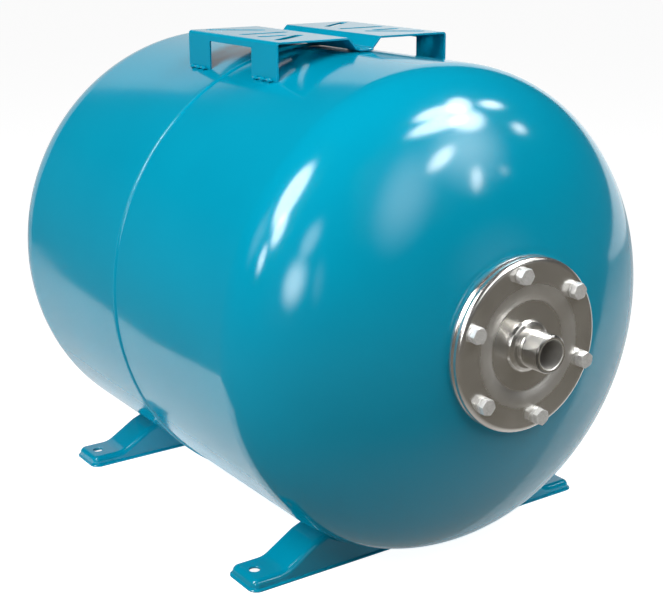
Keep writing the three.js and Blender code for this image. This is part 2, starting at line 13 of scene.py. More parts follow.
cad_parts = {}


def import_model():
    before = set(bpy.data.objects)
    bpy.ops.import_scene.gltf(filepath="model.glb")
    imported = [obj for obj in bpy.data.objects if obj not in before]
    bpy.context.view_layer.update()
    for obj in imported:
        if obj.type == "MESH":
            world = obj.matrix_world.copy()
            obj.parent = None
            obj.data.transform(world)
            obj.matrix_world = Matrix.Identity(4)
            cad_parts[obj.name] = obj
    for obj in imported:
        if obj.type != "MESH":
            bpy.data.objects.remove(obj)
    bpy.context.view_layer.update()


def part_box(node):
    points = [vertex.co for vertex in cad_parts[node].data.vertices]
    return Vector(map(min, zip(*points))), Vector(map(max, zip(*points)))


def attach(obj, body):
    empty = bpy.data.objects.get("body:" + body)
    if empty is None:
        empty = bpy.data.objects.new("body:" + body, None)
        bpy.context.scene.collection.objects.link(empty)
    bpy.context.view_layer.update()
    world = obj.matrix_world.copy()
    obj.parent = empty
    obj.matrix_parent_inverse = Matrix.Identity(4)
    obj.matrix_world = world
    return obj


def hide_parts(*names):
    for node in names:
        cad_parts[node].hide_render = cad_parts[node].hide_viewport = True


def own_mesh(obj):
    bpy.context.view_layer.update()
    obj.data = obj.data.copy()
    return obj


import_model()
MM = 0.001
TAU = 2 * math.pi
MERGE_DISTANCE = 0.002 * MM

# ---- Driving sizes, read from the frame ----

SHELL_LOW, SHELL_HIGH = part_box("front_shell")
REAR_LOW, REAR_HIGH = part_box("rear_shell")
PLATE_LOW, PLATE_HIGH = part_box("flange_plate")
RING_LOW, RING_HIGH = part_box("backing_ring")
COUNTER_LOW, COUNTER_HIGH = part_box("counter_flange")
NIPPLE_LOW, NIPPLE_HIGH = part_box("connection_nipple")
COLLAR_LOW, COLLAR_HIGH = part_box("nipple_weld")
SEAM_LOW, SEAM_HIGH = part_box("girth_weld")
BAG_LOW, BAG_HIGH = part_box("bladder")
DECK_LOW, DECK_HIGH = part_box("pump_bracket")

RADIUS = SHELL_HIGH.x
AXIS_Z = SHELL_HIGH.z - RADIUS
AXIS = Vector((0, 0, AXIS_Z))
WALL = 1.5 * MM
DOME_DEPTH = 122.8 * MM
FLANGE_Y = PLATE_LOW.y
LAND_Y = SHELL_LOW.y
SEAM_Y = SHELL_HIGH.y
FRONT_TANGENT_Y = FLANGE_Y + 128 * MM
REAR_TANGENT_Y = FRONT_TANGENT_Y + 398 * MM
REAR_LAND_Y = REAR_HIGH.y
LAND_RADIUS = 79 * MM
MOUTH_RADIUS = 52 * MM
GAP = 0.3 * MM

BOLT_CIRCLE = 64.5 * MM
BOLT_COUNT = 6
FIRST_BOLT = math.radians(-10)


# ---- Mesh helpers ----

def linked(name, data):
    obj = bpy.data.objects.new(name, data)
    bpy.context.scene.collection.objects.link(obj)
    return obj


def new_object(name, bm, smooth_angle=32):
    """An object from a bmesh, shaded smooth with sharp edges above the given angle in degrees."""
    bmesh.ops.remove_doubles(bm, verts=bm.verts, dist=MERGE_DISTANCE)
    bmesh.ops.recalc_face_normals(bm, faces=bm.faces)
    mesh = bpy.data.meshes.new(name)
    bm.to_mesh(mesh)
    bm.free()
    finish_shading(mesh, smooth_angle)
    return linked(name, mesh)


def finish_shading(mesh, smooth_angle):
    mesh.shade_smooth()
    mesh.set_sharp_from_angle(angle=math.radians(smooth_angle))


def rounded(corners, closed=True, step=12):
    """A line through (a, b, radius) corners, each rounded by an arc in steps of `step` degrees."""
    count = len(corners)
    points = []
    for i, corner in enumerate(corners):
        here = Vector(corner[:2])
        radius = corner[2] if len(corner) > 2 else 0
        at_end = not closed and i in (0, count - 1)
        if radius <= 0 or at_end:
            points.append(tuple(here))
            continue
        before = (Vector(corners[i - 1][:2]) - here).normalized()
        after = (Vector(corners[(i + 1) % count][:2]) - here).normalized()
        half = math.acos(max(-1, min(1, before.dot(after)))) / 2
        if half > math.radians(89):
            points.append(tuple(here))
            continue
        centre = here + (before + after).normalized() * (radius / math.sin(half))
        start = here + before * (radius / math.tan(half)) - centre
        end = here + after * (radius / math.tan(half)) - centre
        turn = math.atan2(start.x * end.y - start.y * end.x, start.dot(end))
        steps = max(2, math.ceil(abs(math.degrees(turn)) / step))
        for k in range(steps + 1):
            a = turn * k / steps
            x = start.x * math.cos(a) - start.y * math.sin(a)
            y = start.x * math.sin(a) + start.y * math.cos(a)
            points.append((centre.x + x, centre.y + y))
    return points


def square(inner, outer, low, high, edge, step=12):
    """The section of a square-edged ring."""
    corners = [(inner, low, edge), (outer, low, edge), (outer, high, edge), (inner, high, edge)]
    return rounded(corners, step=step)


def ring_of(bm, centre, segments, radius_of, y_of, turn=0.0):
    """Vertices round a line along Y: the radius depends on the angle, and y on that radius."""
    ring = []
    for j in range(segments):
        a = TAU * j / segments
        r = radius_of(a)
        place = (centre.x + r * math.sin(a + turn), y_of(r), centre.z + r * math.cos(a + turn))
        ring.append(bm.verts.new(place))
    return ring


def round_ring(bm, middle, up, aside, radius_of, sides):
    """Vertices round a bead or a wire at `middle`."""
    ring = []
    for j in range(sides):
        b = TAU * j / sides
        ring.append(bm.verts.new(middle + (up * math.cos(b) + aside * math.sin(b)) * radius_of(b)))
    return ring


def skin(bm, rings, capped=True):
    """Joins equal rings one after another, and closes the first and the last."""
    for one, two in zip(rings, rings[1:]):
        for j in range(len(one)):
            k = (j + 1) % len(one)
            bm.faces.new((one[j], one[k], two[k], two[j]))
    if capped:
        bm.faces.new(rings[0])
        bm.faces.new(rings[-1][::-1])
    return bm


def turned_mesh(profile, segments=192, centre=AXIS, wobble=None):
    """A bmesh turned about a line along Y through `centre`, from a closed profile of (radius, y) points."""
    bm = bmesh.new()
    rings = []
    for r, y in profile:
        if r == 0:
            rings.append([bm.verts.new((centre.x, y, centre.z))])
        else:
            reach = (lambda a: r + wobble(a, y)) if wobble else (lambda a: r)
            rings.append(ring_of(bm, centre, segments, reach, lambda _: y))
    for i, ring in enumerate(rings):
        other = rings[(i + 1) % len(rings)]
        if len(ring) == 1 and len(other) == 1:
            continue
        for j in range(segments):
            k = (j + 1) % segments
            if len(ring) == 1:
                bm.faces.new((ring[0], other[k], other[j]))
            elif len(other) == 1:
                bm.faces.new((ring[j], ring[k], other[0]))
            else:
                bm.faces.new((ring[j], ring[k], other[k], other[j]))
    return bm


def turned(name, profile, segments=192, centre=AXIS, wobble=None, smooth_angle=32):
    return new_object(name, turned_mesh(profile, segments, centre, wobble), smooth_angle)


def extruded_mesh(outline, low, high, to_point):
    """A prism from a closed outline; `to_point` places (a, b, height) in the frame."""
    bm = bmesh.new()
    ends = [[bm.verts.new(to_point(a, b, h)) for a, b in outline] for h in (low, high)]
    bm.faces.new(ends[0])
    bm.faces.new(ends[1][::-1])
    for i in range(len(outline)):
        j = (i + 1) % len(outline)
        bm.faces.new((ends[0][j], ends[0][i], ends[1][i], ends[1][j]))
    return bm


def joined_mesh(meshes):
    """One mesh data block from several bmeshes, which are freed."""
    whole = bpy.data.meshes.new("parts")
    bm = bmesh.new()
    for part in meshes:
        piece = bpy.data.meshes.new("part")
        bmesh.ops.recalc_face_normals(part, faces=part.faces)
        part.to_mesh(piece)
        part.free()
        bm.from_mesh(piece)
        bpy.data.meshes.remove(piece)
    bm.to_mesh(whole)
    bm.free()
    return whole


def apply_modifiers(obj):
    depsgraph = bpy.context.evaluated_depsgraph_get()
    old = obj.data
    obj.data = bpy.data.meshes.new_from_object(obj.evaluated_get(depsgraph))
    obj.modifiers.clear()
    bpy.data.meshes.remove(old)


def modified(obj, smooth_angle=32):
    apply_modifiers(obj)
    finish_shading(obj.data, smooth_angle)
    return obj


def cut(obj, cutters, smooth_angle=32):
    """Cuts closed bmeshes out of an object."""
    tool = linked("tool", joined_mesh(cutters))
    boolean = obj.modifiers.new("cut", "BOOLEAN")
    boolean.operation = "DIFFERENCE"
    boolean.solver = "EXACT"
    boolean.object = tool
    modified(obj, smooth_angle)
    bpy.data.objects.remove(tool)
    return obj


def bevelled(obj, width, segments=2, angle=40, smooth_angle=32):
    bevel = obj.modifiers.new("bevel", "BEVEL")
    bevel.width = width
    bevel.segments = segments
    bevel.limit_method = "ANGLE"
    bevel.angle_limit = math.radians(angle)
    bevel.use_clamp_overlap = True
    return modified(obj, smooth_angle)


def drill_mesh(radius, low, high, chamfer=0.0, centre=AXIS, segments=32):
    """A cutter along Y whose ends flare by `chamfer` where the hole's edges are."""
    profile = [(0, low), (radius, low), (radius, high), (0, high)]
    if chamfer:
        edge, past = radius + 3 * chamfer, 2 * chamfer
        profile = [(0, low - past), (edge, low - past), (radius, low + chamfer),
                   (radius, high - chamfer), (edge, high + past), (0, high + past)]
    return turned_mesh(profile, segments, centre)


def vertical(bm, centre):
    """Turns a mesh made along Y at the origin upright, at `centre`."""
    bm.transform(Matrix.Translation(centre) @ Matrix.Rotation(math.pi / 2, 4, "X"))
    return bm


def bolt_centres():
    for i in range(BOLT_COUNT):
        a = FIRST_BOLT + TAU * i / BOLT_COUNT
        yield AXIS + Vector((BOLT_CIRCLE * math.sin(a), 0, BOLT_CIRCLE * math.cos(a)))


def bolt_hole_meshes(low, high, radius=4.5 * MM, chamfer=0.25 * MM):
    return [drill_mesh(radius, low, high, chamfer, centre) for centre in bolt_centres()]


def rough(scale, size, seed=0.0):
    """A wobble for a turned piece: `size` metres of noise in lumps of `scale` metres."""
    def at(angle, y):
        lump = Vector((math.sin(angle) * 0.25, y, math.cos(angle) * 0.25 + seed)) / scale
        return size * noise.noise(lump)
    return at


def flat_faces_stay_flat(obj):
    """Gives each corner the normal of its larger faces, so that a flat doesn't shade as if it were curved."""
    normals = obj.modifiers.new("normals", "WEIGHTED_NORMAL")
    normals.mode = "FACE_AREA"
    normals.weight = 80
    normals.keep_sharp = True
    apply_modifiers(obj)


def stands_for(obj, node, slot, body="vessel"):
    flat_faces_stay_flat(obj)
    obj.data.materials.clear()
    obj.data.materials.append(MATERIALS[slot])
    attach(obj, body)
    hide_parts(node)
    return obj


# ---- Materials ----

class Surface:
    """A node material under construction."""

    def __init__(self, name, roughness, metallic=0.0, ior=1.5):
        self.material = bpy.data.materials.new(name)
        self.material.use_nodes = True
        self.tree = self.material.node_tree
        self.tree.nodes.clear()
        self.out = self.node("OutputMaterial")
        self.shader = self.node("BsdfPrincipled")
        self.link(self.shader.outputs["BSDF"], self.out.inputs["Surface"])
        self.shader.inputs["Roughness"].default_value = roughness
        self.shader.inputs["Metallic"].default_value = metallic
        self.shader.inputs["IOR"].default_value = ior
        self.place = self.node("TexCoord").outputs["Object"]

    def node(self, kind):
        return self.tree.nodes.new("ShaderNode" + kind)

    def link(self, source, target):
        self.tree.links.new(source, target)

    def math(self, operation, a, b=None):
        node = self.node("Math")
        node.operation = operation
        for socket, value in zip(node.inputs, (a, b)):
            if isinstance(value, (int, float)):
                socket.default_value = value
            elif value is not None:
                self.link(value, socket)
        return node.outputs[0]

    def noise(self, scale, detail=3.0, vector=None, rough=0.5):
        node = self.node("TexNoise")
        node.inputs["Scale"].default_value = scale
        node.inputs["Detail"].default_value = detail
        node.inputs["Roughness"].default_value = rough
        self.link(vector or self.place, node.inputs["Vector"])
        return node.outputs["Fac"]

    def parts(self, vector):
        split = self.node("SeparateXYZ")
        self.link(vector, split.inputs[0])
        return split.outputs

    def radial(self, centre_z, along=1.0, around=0.02):
        """A vector whose first part is the distance from the tank's axis: noise on it makes turning marks."""
        x, y, z = self.parts(self.place)
        z = self.math("SUBTRACT", z, centre_z)
        squares = self.math("ADD", self.math("MULTIPLY", x, x), self.math("MULTIPLY", z, z))
        radius = self.math("SQRT", squares)
        join = self.node("CombineXYZ")
        self.link(radius, join.inputs[0])
        self.link(self.math("MULTIPLY", y, along), join.inputs[1])
        self.link(self.math("MULTIPLY", self.math("ARCTAN2", x, z), around), join.inputs[2])
        return join.outputs[0]

    def ramp(self, fac, stops):
        node = self.node("ValToRGB")
        ramp = node.color_ramp
        while len(ramp.elements) < len(stops):
            ramp.elements.new(0.5)
        for element, (position, colour) in zip(ramp.elements, stops):
            element.position = position
            element.color = (*colour, 1)
        self.link(fac, node.inputs["Fac"])
        return node.outputs["Color"]

    def spread(self, fac, low, high, out_low, out_high, interpolation="LINEAR"):
        node = self.node("MapRange")
        node.interpolation_type = interpolation
        for name, value in zip(("From Min", "From Max", "To Min", "To Max"), (low, high, out_low, out_high)):
            node.inputs[name].default_value = value
        self.link(fac, node.inputs["Value"])
        return node.outputs["Result"]

    def colour(self, source):
        self.link(source, self.shader.inputs["Base Color"])

    def roughness(self, source):
        self.link(source, self.shader.inputs["Roughness"])

    def bumps(self, layers):
        """Stacks (height, depth in metres, strength) layers of bump."""
        normal = None
        for height, depth, strength in layers:
            node = self.node("Bump")
            node.inputs["Distance"].default_value = depth
            node.inputs["Strength"].default_value = strength
            self.link(height, node.inputs["Height"])
            if normal is not None:
                self.link(normal, node.inputs["Normal"])
            normal = node.outputs["Normal"]
        self.link(normal, self.shader.inputs["Normal"])
        return self


def enamel():
    """Glossy turquoise enamel: slight orange peel, slow waves of the drawn steel, faint dust."""
    s = Surface("turquoise_enamel", roughness=0.1, ior=1.5)
    cloud = s.noise(9, 4)
    s.colour(s.ramp(cloud, [(0.3, (0.0, 0.262, 0.40)), (0.7, (0.0, 0.278, 0.42))]))
    dust = s.noise(700, 2)
    s.roughness(s.spread(dust, 0.35, 0.75, 0.09, 0.14))
    waves = s.noise(22, 2)
    peel = s.noise(420, 3)
    s.bumps([(waves, 0.0004, 0.12), (peel, 0.00003, 0.2)])
    return s.material


BAND_MIDDLE = 46.5 * MM
THREAD_ROOT = 15.4 * MM


def bright_steel():
    """Pressed steel with a satin polish, duller on the band round the sunk disc and in the bore, with painted
    shade in the roots of the nipple's thread.
    """
    s = Surface("bright_steel", roughness=0.22, metallic=0.92, ior=1.6)
    rings = s.noise(520, 3, s.radial(AXIS_Z, along=0.6, around=0.006), 0.6)
    stain = s.noise(30, 4)
    fine = s.noise(900, 3)
    metal = s.ramp(stain, [(0.35, (0.66, 0.645, 0.615)), (0.7, (0.76, 0.75, 0.725))])
    polish = s.spread(s.math("ADD", rings, fine), 0.7, 1.3, 0.15, 0.25)
    radius = s.parts(s.radial(AXIS_Z))[0]
    off_band = s.math("ABSOLUTE", s.math("SUBTRACT", radius, BAND_MIDDLE))
    off_root = s.math("ABSOLUTE", s.math("SUBTRACT", radius, THREAD_ROOT))
    # Painted shade: the colour falls to about a fifth near the thread's root radius, darkening the grooves of
    # the nipple's thread.
    thread_root_shade = s.node("VectorMath")
    thread_root_shade.operation = "SCALE"
    s.link(metal, thread_root_shade.inputs[0])
    s.link(s.spread(off_root, 0.1 * MM, 0.8 * MM, 0.22, 1.0), thread_root_shade.inputs["Scale"])
    s.colour(thread_root_shade.outputs[0])
    polish = s.math("ADD", polish, s.spread(radius, 13.0 * MM, 13.6 * MM, 0.35, 0.0))
    s.roughness(s.math("ADD", polish, s.spread(off_band, 5.5 * MM, 8.5 * MM, 0.22, 0.0)))
    s.bumps([(rings, 0.00001, 0.12), (fine, 0.000005, 0.08)])
    return s.material


def zinc_plate():
    """Zinc-plated fasteners, lightly tumbled: pale, with small dents and dull patches."""
    s = Surface("zinc_plate", roughness=0.32, metallic=0.6, ior=1.6)
    grain = s.noise(2200, 3)
    patch = s.noise(420, 3)
    s.colour(s.ramp(patch, [(0.35, (0.80, 0.80, 0.785)), (0.7, (0.93, 0.93, 0.915))]))
    s.roughness(s.spread(grain, 0.3, 0.7, 0.26, 0.44))
    s.bumps([(patch, 0.0003, 0.5), (grain, 0.00002, 0.3)])
    return s.material


def grained(name, tint_noise, dark, light, dull_noise, dull, bump_noise, bump, rings=None, **shader):
    """A plain material: two tints, a spread of roughness and a bump, each from a noise of (scale, detail). With
    `rings` the last two are turning marks, stretched along and around the axis."""
    s = Surface(name, **shader)
    vector, rough = (s.radial(AXIS_Z, *rings), 0.7) if rings else (None, 0.5)
    s.colour(s.ramp(s.noise(*tint_noise), [(0.35, dark), (0.7, light)]))
    s.roughness(s.spread(s.noise(*dull_noise, vector, rough), 0.3, 0.7, *dull))
    s.bumps([(s.noise(*bump_noise, vector, rough), *bump)])
    return s.material


MATERIALS = {
    "enamel": enamel(),
    "bright_steel": bright_steel(),
    "zinc_plate": zinc_plate(),
    "plain_steel": grained(
        "plain_steel", (60, 4), (0.36, 0.36, 0.36), (0.47, 0.465, 0.455), (700, 4), (0.34, 0.52),
        (700, 4), (0.00006, 0.4), rings=(0.6, 0.01), roughness=0.42, metallic=1.0),
    "butyl_rubber": grained(
        "butyl_rubber", (45, 4), (0.012, 0.012, 0.013), (0.022, 0.022, 0.023), (500, 3), (0.62, 0.82),
        (900, 3), (0.00008, 0.5), roughness=0.7, ior=1.52),
    "brass": grained(
        "turned_brass", (180, 4), (0.55, 0.37, 0.13), (0.66, 0.46, 0.18), (1500, 4), (0.2, 0.38),
        (1500, 4), (0.00003, 0.4), rings=(1.0, 0.002), roughness=0.28, metallic=1.0),
    "spring_steel": grained(
        "spring_wire", (900, 3), (0.45, 0.45, 0.46), (0.58, 0.58, 0.58), (2500, 2), (0.24, 0.4),
        (2500, 2), (0.00001, 0.4), roughness=0.3, metallic=1.0),
    "black_plastic": grained(
        "black_plastic", (120, 4), (0.010, 0.010, 0.011), (0.018, 0.018, 0.020), (1800, 2), (0.36, 0.54),
        (2200, 3), (0.00004, 0.5), roughness=0.45, ior=1.48),
}


# ---- The tank ----

def quarter(centre_r, centre_y, reach_r, reach_y, steps=16, start=0.0):
    """Points round a quarter ellipse, from `start` radians off its y side to its radius side."""
    angles = (start + (math.pi / 2 - start) * i / steps for i in range(steps + 1))
    return [(centre_r + reach_r * math.sin(a), centre_y + reach_y * math.cos(a)) for a in angles]


def dome(radius, depth, tangent_y, back, start_radius):
    """Points down an elliptical dome, from `start_radius` to the tangent line."""
    return quarter(0, tangent_y, radius, back * depth, 44, math.asin(start_radius / radius))


def front_shell():
    inner_radius = RADIUS - WALL
    outer = dome(RADIUS, DOME_DEPTH, FRONT_TANGENT_Y, -1, LAND_RADIUS)
    inner = dome(inner_radius, DOME_DEPTH - WALL, FRONT_TANGENT_Y, -1, LAND_RADIUS)
    edge = 0.5 * MM
    profile = [(MOUTH_RADIUS, LAND_Y), (LAND_RADIUS - 2 * MM, LAND_Y)]
    profile += outer[1:]
    profile += [(RADIUS, SEAM_Y - edge), (RADIUS - edge, SEAM_Y)]
    profile += [(inner_radius, SEAM_Y)]
    profile += inner[1:][::-1]
    profile += [(LAND_RADIUS - 2 * MM, LAND_Y + WALL), (MOUTH_RADIUS, LAND_Y + WALL)]
    shell = turned("front_shell_skin", profile, segments=256)
    return cut(shell, bolt_hole_meshes(LAND_Y - 1 * MM, LAND_Y + WALL + 1 * MM, chamfer=0))


def rear_shell():
    inner_radius = RADIUS - WALL
    lip = inner_radius - GAP
    lip_y = REAR_LOW.y
    joggle = 5 * MM
    hole = 8.3 * MM
    land = 26 * MM
    outer = dome(RADIUS, DOME_DEPTH, REAR_TANGENT_Y, 1, land)
    inner = dome(inner_radius, DOME_DEPTH - WALL, REAR_TANGENT_Y, 1, land)
    step_outer = rounded([(RADIUS, SEAM_Y + 2 * joggle), (RADIUS, SEAM_Y + joggle, 3 * MM),
                          (lip, SEAM_Y + GAP, 3 * MM), (lip, lip_y)], closed=False)
    step_inner = rounded([(lip - WALL, lip_y), (lip - WALL, SEAM_Y + GAP, 3 * MM),
                          (inner_radius, SEAM_Y + joggle, 3 * MM), (inner_radius, SEAM_Y + 2 * joggle)],
                         closed=False)
    profile = [(hole, REAR_LAND_Y), (land - 1 * MM, REAR_LAND_Y)] + outer[1:]
    profile += step_outer + step_inner + inner[1:][::-1]
    profile += [(land - 1 * MM, REAR_LAND_Y - WALL), (hole, REAR_LAND_Y - WALL)]
    return turned("rear_shell_skin", profile, segments=256)


def girth_weld():
    """A low crowned bead over the seam, a little uneven as a machine weld is under paint."""
    half = (SEAM_HIGH.y - SEAM_LOW.y) / 2
    height = SEAM_HIGH.x - RADIUS
    steps = 12
    crown = []
    for i in range(steps + 1):
        t = -1 + 2 * i / steps
        crown.append((RADIUS - 0.1 * MM + height * (1 - t * t), SEAM_Y + half * t))
    profile = crown + [(RADIUS - 0.3 * MM, SEAM_Y + half), (RADIUS - 0.3 * MM, SEAM_Y - half)]
    return turned("girth_weld_bead", profile, segments=512, wobble=rough(14 * MM, 0.05 * MM), smooth_angle=60)


stands_for(front_shell(), "front_shell", "enamel")
stands_for(rear_shell(), "rear_shell", "enamel")
stands_for(girth_weld(), "girth_weld", "enamel")


# ---- The flange ----

def flange_plate():
    y = FLANGE_Y
    outer = PLATE_HIGH.x
    depth = PLATE_HIGH.y
    sheet = 2.5 * MM
    dish = 2.4 * MM
    hole = 16.9 * MM
    # The band round the sunk disc is a hollow arc that leaves the flat part without a corner.
    band, band_outer, steps = 12 * MM, 52 * MM, 12
    dished = [(band_outer - band * (1 - t), y + dish * (1 - t) ** 2)
              for t in (i / steps for i in range(1, steps + 1))]
    profile = rounded([
        (hole, y + dish, 0.2 * MM),
        (40 * MM, y + dish, 0.6 * MM),
        *dished,
        (outer, y, 5 * MM),
        (outer, depth, 0.4 * MM),
        (outer - sheet, depth, 0.4 * MM),
        (outer - sheet, y + sheet, 2 * MM),
        (52.5 * MM, y + sheet, 7 * MM),
        (41 * MM, y + dish + sheet, 2 * MM),
        (hole, y + dish + sheet, 0.2 * MM),
    ])
    plate = turned("flange_plate_pressing", profile, segments=192)
    return cut(plate, bolt_hole_meshes(y, y + sheet))


def backing_ring():
    inner = 56.5 * MM
    front = RING_LOW.y
    shoulder = PLATE_HIGH.y + 0.1 * MM
    profile = rounded([
        (inner, front, 0.5 * MM),
        (73.6 * MM, front, 1.5 * MM),
        (73.6 * MM, shoulder, 0.3 * MM),
        (RING_HIGH.x - 1.6 * MM, shoulder, 0.5 * MM),
        (RING_HIGH.x, shoulder + 3.4 * MM, 4 * MM),
        (RING_HIGH.x, LAND_Y - 0.1 * MM, 0.5 * MM),
        (inner, LAND_Y - 0.1 * MM, 0.5 * MM),
    ])
    ring = turned("backing_ring_turned", profile, segments=192)
    return cut(ring, bolt_hole_meshes(front, LAND_Y - 0.1 * MM))


def counter_flange():
    inner = 53.5 * MM
    low, high = COUNTER_LOW.y, COUNTER_HIGH.y
    edge = 0.8 * MM
    ring = turned("counter_flange_ring", square(inner, COUNTER_HIGH.x, low, high, edge), segments=144)
    return cut(ring, bolt_hole_meshes(low, high, radius=4.35 * MM, chamfer=0.4 * MM))


THREAD_FLANK = 1.3  # the larger, the steeper the flanks


def thread_form(phase):
    """Height from root to crest, 0 to 1, of a rounded pipe thread at a phase of its pitch."""
    t = abs((phase % 1.0) - 0.5) * 2
    return 0.5 + 0.5 * math.tanh(THREAD_FLANK * (2 * t - 1)) / math.tanh(THREAD_FLANK)


def threaded_rod(crest, depth, pitch, low, high, run_out, bore=0.0, chamfer=0.0,
                 centre=AXIS, segments=96, rows_per_pitch=10, plain=()):
    """A rod or tube along Y with a helical thread from `low` to `high`; its low end is chamfered."""
    rows = math.ceil((high - low) / pitch * rows_per_pitch)
    ys = [low + (high - low) * i / rows for i in range(rows + 1)]
    bm = bmesh.new()
    rings = []

    def ring_at(y, radius_of):
        rings.append(ring_of(bm, centre, segments, radius_of, lambda _: y))

    for y in ys:
        sunk = depth * max(0.0, min(1.0, (high - y) / run_out))
        limit = crest - max(0.0, chamfer - (y - low))
        ring_at(y, lambda a: min(crest - sunk * (1 - thread_form(y / pitch - a / TAU)), limit))
    for y, r in plain:
        ring_at(y, lambda a: r)
    if bore:
        edge = 0.6 * MM
        last = rings[-1][0].co.y
        ring_at(last, lambda a: bore + edge)
        ring_at(last - edge, lambda a: bore)
        ring_at(low + edge, lambda a: bore)
        ring_at(low, lambda a: bore + edge)
        rings.append(rings[0])
    return skin(bm, rings, capped=not bore)


def connection_nipple():
    """1 inch pipe thread, 2.309 mm pitch, with a plain shoulder at its root."""
    crest = NIPPLE_HIGH.x
    low, high = NIPPLE_LOW.y, NIPPLE_HIGH.y
    thread_end = low + 21 * MM
    plain = rounded([(crest, thread_end), (crest, high - 0.5 * MM), (crest - 0.5 * MM, high)], closed=False)
    bm = threaded_rod(crest, 1.45 * MM, 2.309 * MM, low, thread_end, run_out=4 * MM, bore=12.5 * MM,
                      chamfer=1.6 * MM, segments=144, rows_per_pitch=12,
                      plain=[(y, r) for r, y in plain[1:]])
    return new_object("connection_nipple_threaded", bm, 40)


def nipple_weld():
    """A smooth raised fillet where the nipple leaves the plate."""
    rear = COLLAR_HIGH.y + 0.2 * MM
    top = COLLAR_LOW.y
    outer = COLLAR_HIGH.x
    inner = 16.7 * MM
    profile = rounded([(inner, rear), (inner, top, 0.3 * MM), (inner + 1.8 * MM, top, 0.9 * MM),
                       (outer - 0.9 * MM, top + 1.6 * MM, 2.4 * MM), (outer + 0.4 * MM, rear, 0)])
    return turned("nipple_weld_fillet", profile, segments=144, wobble=rough(4 * MM, 0.25 * MM, 3.0),
                  smooth_angle=45)


def hex_head(low, high, across_flats, centre, turn):
    """A hexagon head between low and high along Y, its outer face at `low`, with turned corners."""
    flat = across_flats / 2
    top_radius = flat * 0.98
    lean = math.tan(math.radians(24))
    corner = 0.16 * MM
    segments = 72
    bm = bmesh.new()

    def hex_radius(a):
        offset = (a + math.pi / 6) % (math.pi / 3) - math.pi / 6
        sharp = flat / math.cos(offset)
        return min(sharp, flat / math.cos(math.pi / 6) - corner * 0.5)

    def ring(radius_of, y_of):
        return ring_of(bm, centre, segments, radius_of, y_of, turn)

    def top_y(r):
        return low + max(0.0, (r - top_radius) * lean)

    rings = [
        ring(lambda a: top_radius * 0.55, lambda r: low + 0.12 * MM),
        ring(lambda a: top_radius * 0.9, lambda r: low + 0.03 * MM),
        ring(lambda a: top_radius, lambda r: low),
        ring(lambda a: hex_radius(a) - 0.1 * MM, top_y),
        ring(hex_radius, lambda r: top_y(r) + 0.1 * MM),
        ring(hex_radius, lambda r: high - 0.25 * MM),
        ring(lambda a: hex_radius(a) - 0.15 * MM, lambda r: high),
    ]
    return skin(bm, rings)


def flange_bolt(index, centre):
    node_low, node_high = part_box(f"flange_bolt_{index}")
    bearing = node_low.y + 5.3 * MM
    turn = math.radians(17 + 47 * index)
    head = hex_head(node_low.y, bearing, 13 * MM, centre, turn)
    shank = threaded_rod(3.98 * MM, 0.75 * MM, 1.25 * MM, bearing - 0.5 * MM, node_high.y,
                         run_out=3 * MM, centre=centre, segments=36, rows_per_pitch=6)
    obj = linked(f"hex_bolt_{index}", joined_mesh([head, shank]))
    finish_shading(obj.data, 12)
    return obj


def spring_washer(index, centre):
    """A split ring of square wire; the split's ends stand slightly apart along the bolt."""
    node_low, node_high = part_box(f"spring_washer_{index}")
    inner, outer = 4.25 * MM, 7.3 * MM
    half_gap = math.radians(7)
    low, high = node_low.y + 0.1 * MM, node_high.y + 0.25 * MM
    edge = 0.4 * MM
    section = square(inner, outer, low, high, edge, step=45)
    steps = 56
    start = math.radians(-60 + 31 * index)
    bm = bmesh.new()
    rings = []
    for i in range(steps + 1):
        t = i / steps
        a = start + half_gap + (TAU - 2 * half_gap) * t
        rise = 0.25 * MM * (t - 0.5)
        ring = [bm.verts.new((centre.x + r * math.sin(a), y - rise, centre.z + r * math.cos(a)))
                for r, y in section]
        rings.append(ring)
    return new_object(f"split_washer_{index}", skin(bm, rings), 35)


def bladder():
    """The moulded bag: a thick lip, a neck, a shoulder, a straight body and a round end."""
    wall = 3 * MM
    radius = BAG_HIGH.x
    neck, neck_y = 49.5 * MM, FLANGE_Y + 26 * MM
    shoulder_y, round_y = FLANGE_Y + 92 * MM, FLANGE_Y + 372 * MM
    end_y = BAG_HIGH.y
    lip_inner, lip_outer = 45.5 * MM, 56 * MM
    lip_front, lip_rear = FLANGE_Y + 2.8 * MM, LAND_Y - GAP
    inner = radius - wall
    neck_inside = quarter(lip_inner, shoulder_y, inner - lip_inner, neck_y + wall - shoulder_y)
    profile = quarter(0, round_y, inner, end_y - wall - round_y) + neck_inside[::-1]
    profile += rounded([(lip_inner, neck_y), (lip_inner, lip_front + 1.7 * MM, 0.5 * MM),
                        (53 * MM, lip_front, 1 * MM), (lip_outer, lip_front, 0.8 * MM),
                        (lip_outer, lip_rear, 0.8 * MM), (neck, lip_rear, 1 * MM), (neck, neck_y)],
                       closed=False)[1:-1]
    profile += quarter(neck, shoulder_y, radius - neck, neck_y - shoulder_y)
    profile += quarter(0, round_y, radius, end_y - round_y)[::-1]
    return turned("bladder_bag", profile, segments=128)


stands_for(flange_plate(), "flange_plate", "bright_steel")
stands_for(backing_ring(), "backing_ring", "bright_steel")
stands_for(counter_flange(), "counter_flange", "plain_steel")
stands_for(connection_nipple(), "connection_nipple", "bright_steel")
stands_for(nipple_weld(), "nipple_weld", "bright_steel")
stands_for(bladder(), "bladder", "butyl_rubber")
for number, bolt_centre in enumerate(bolt_centres(), 1):
    washer = spring_washer(number, bolt_centre)
    stands_for(washer, f"spring_washer_{number}", "zinc_plate")
    bolt = flange_bolt(number, bolt_centre)
    stands_for(bolt, f"flange_bolt_{number}", "zinc_plate")


# ---- The feet ----

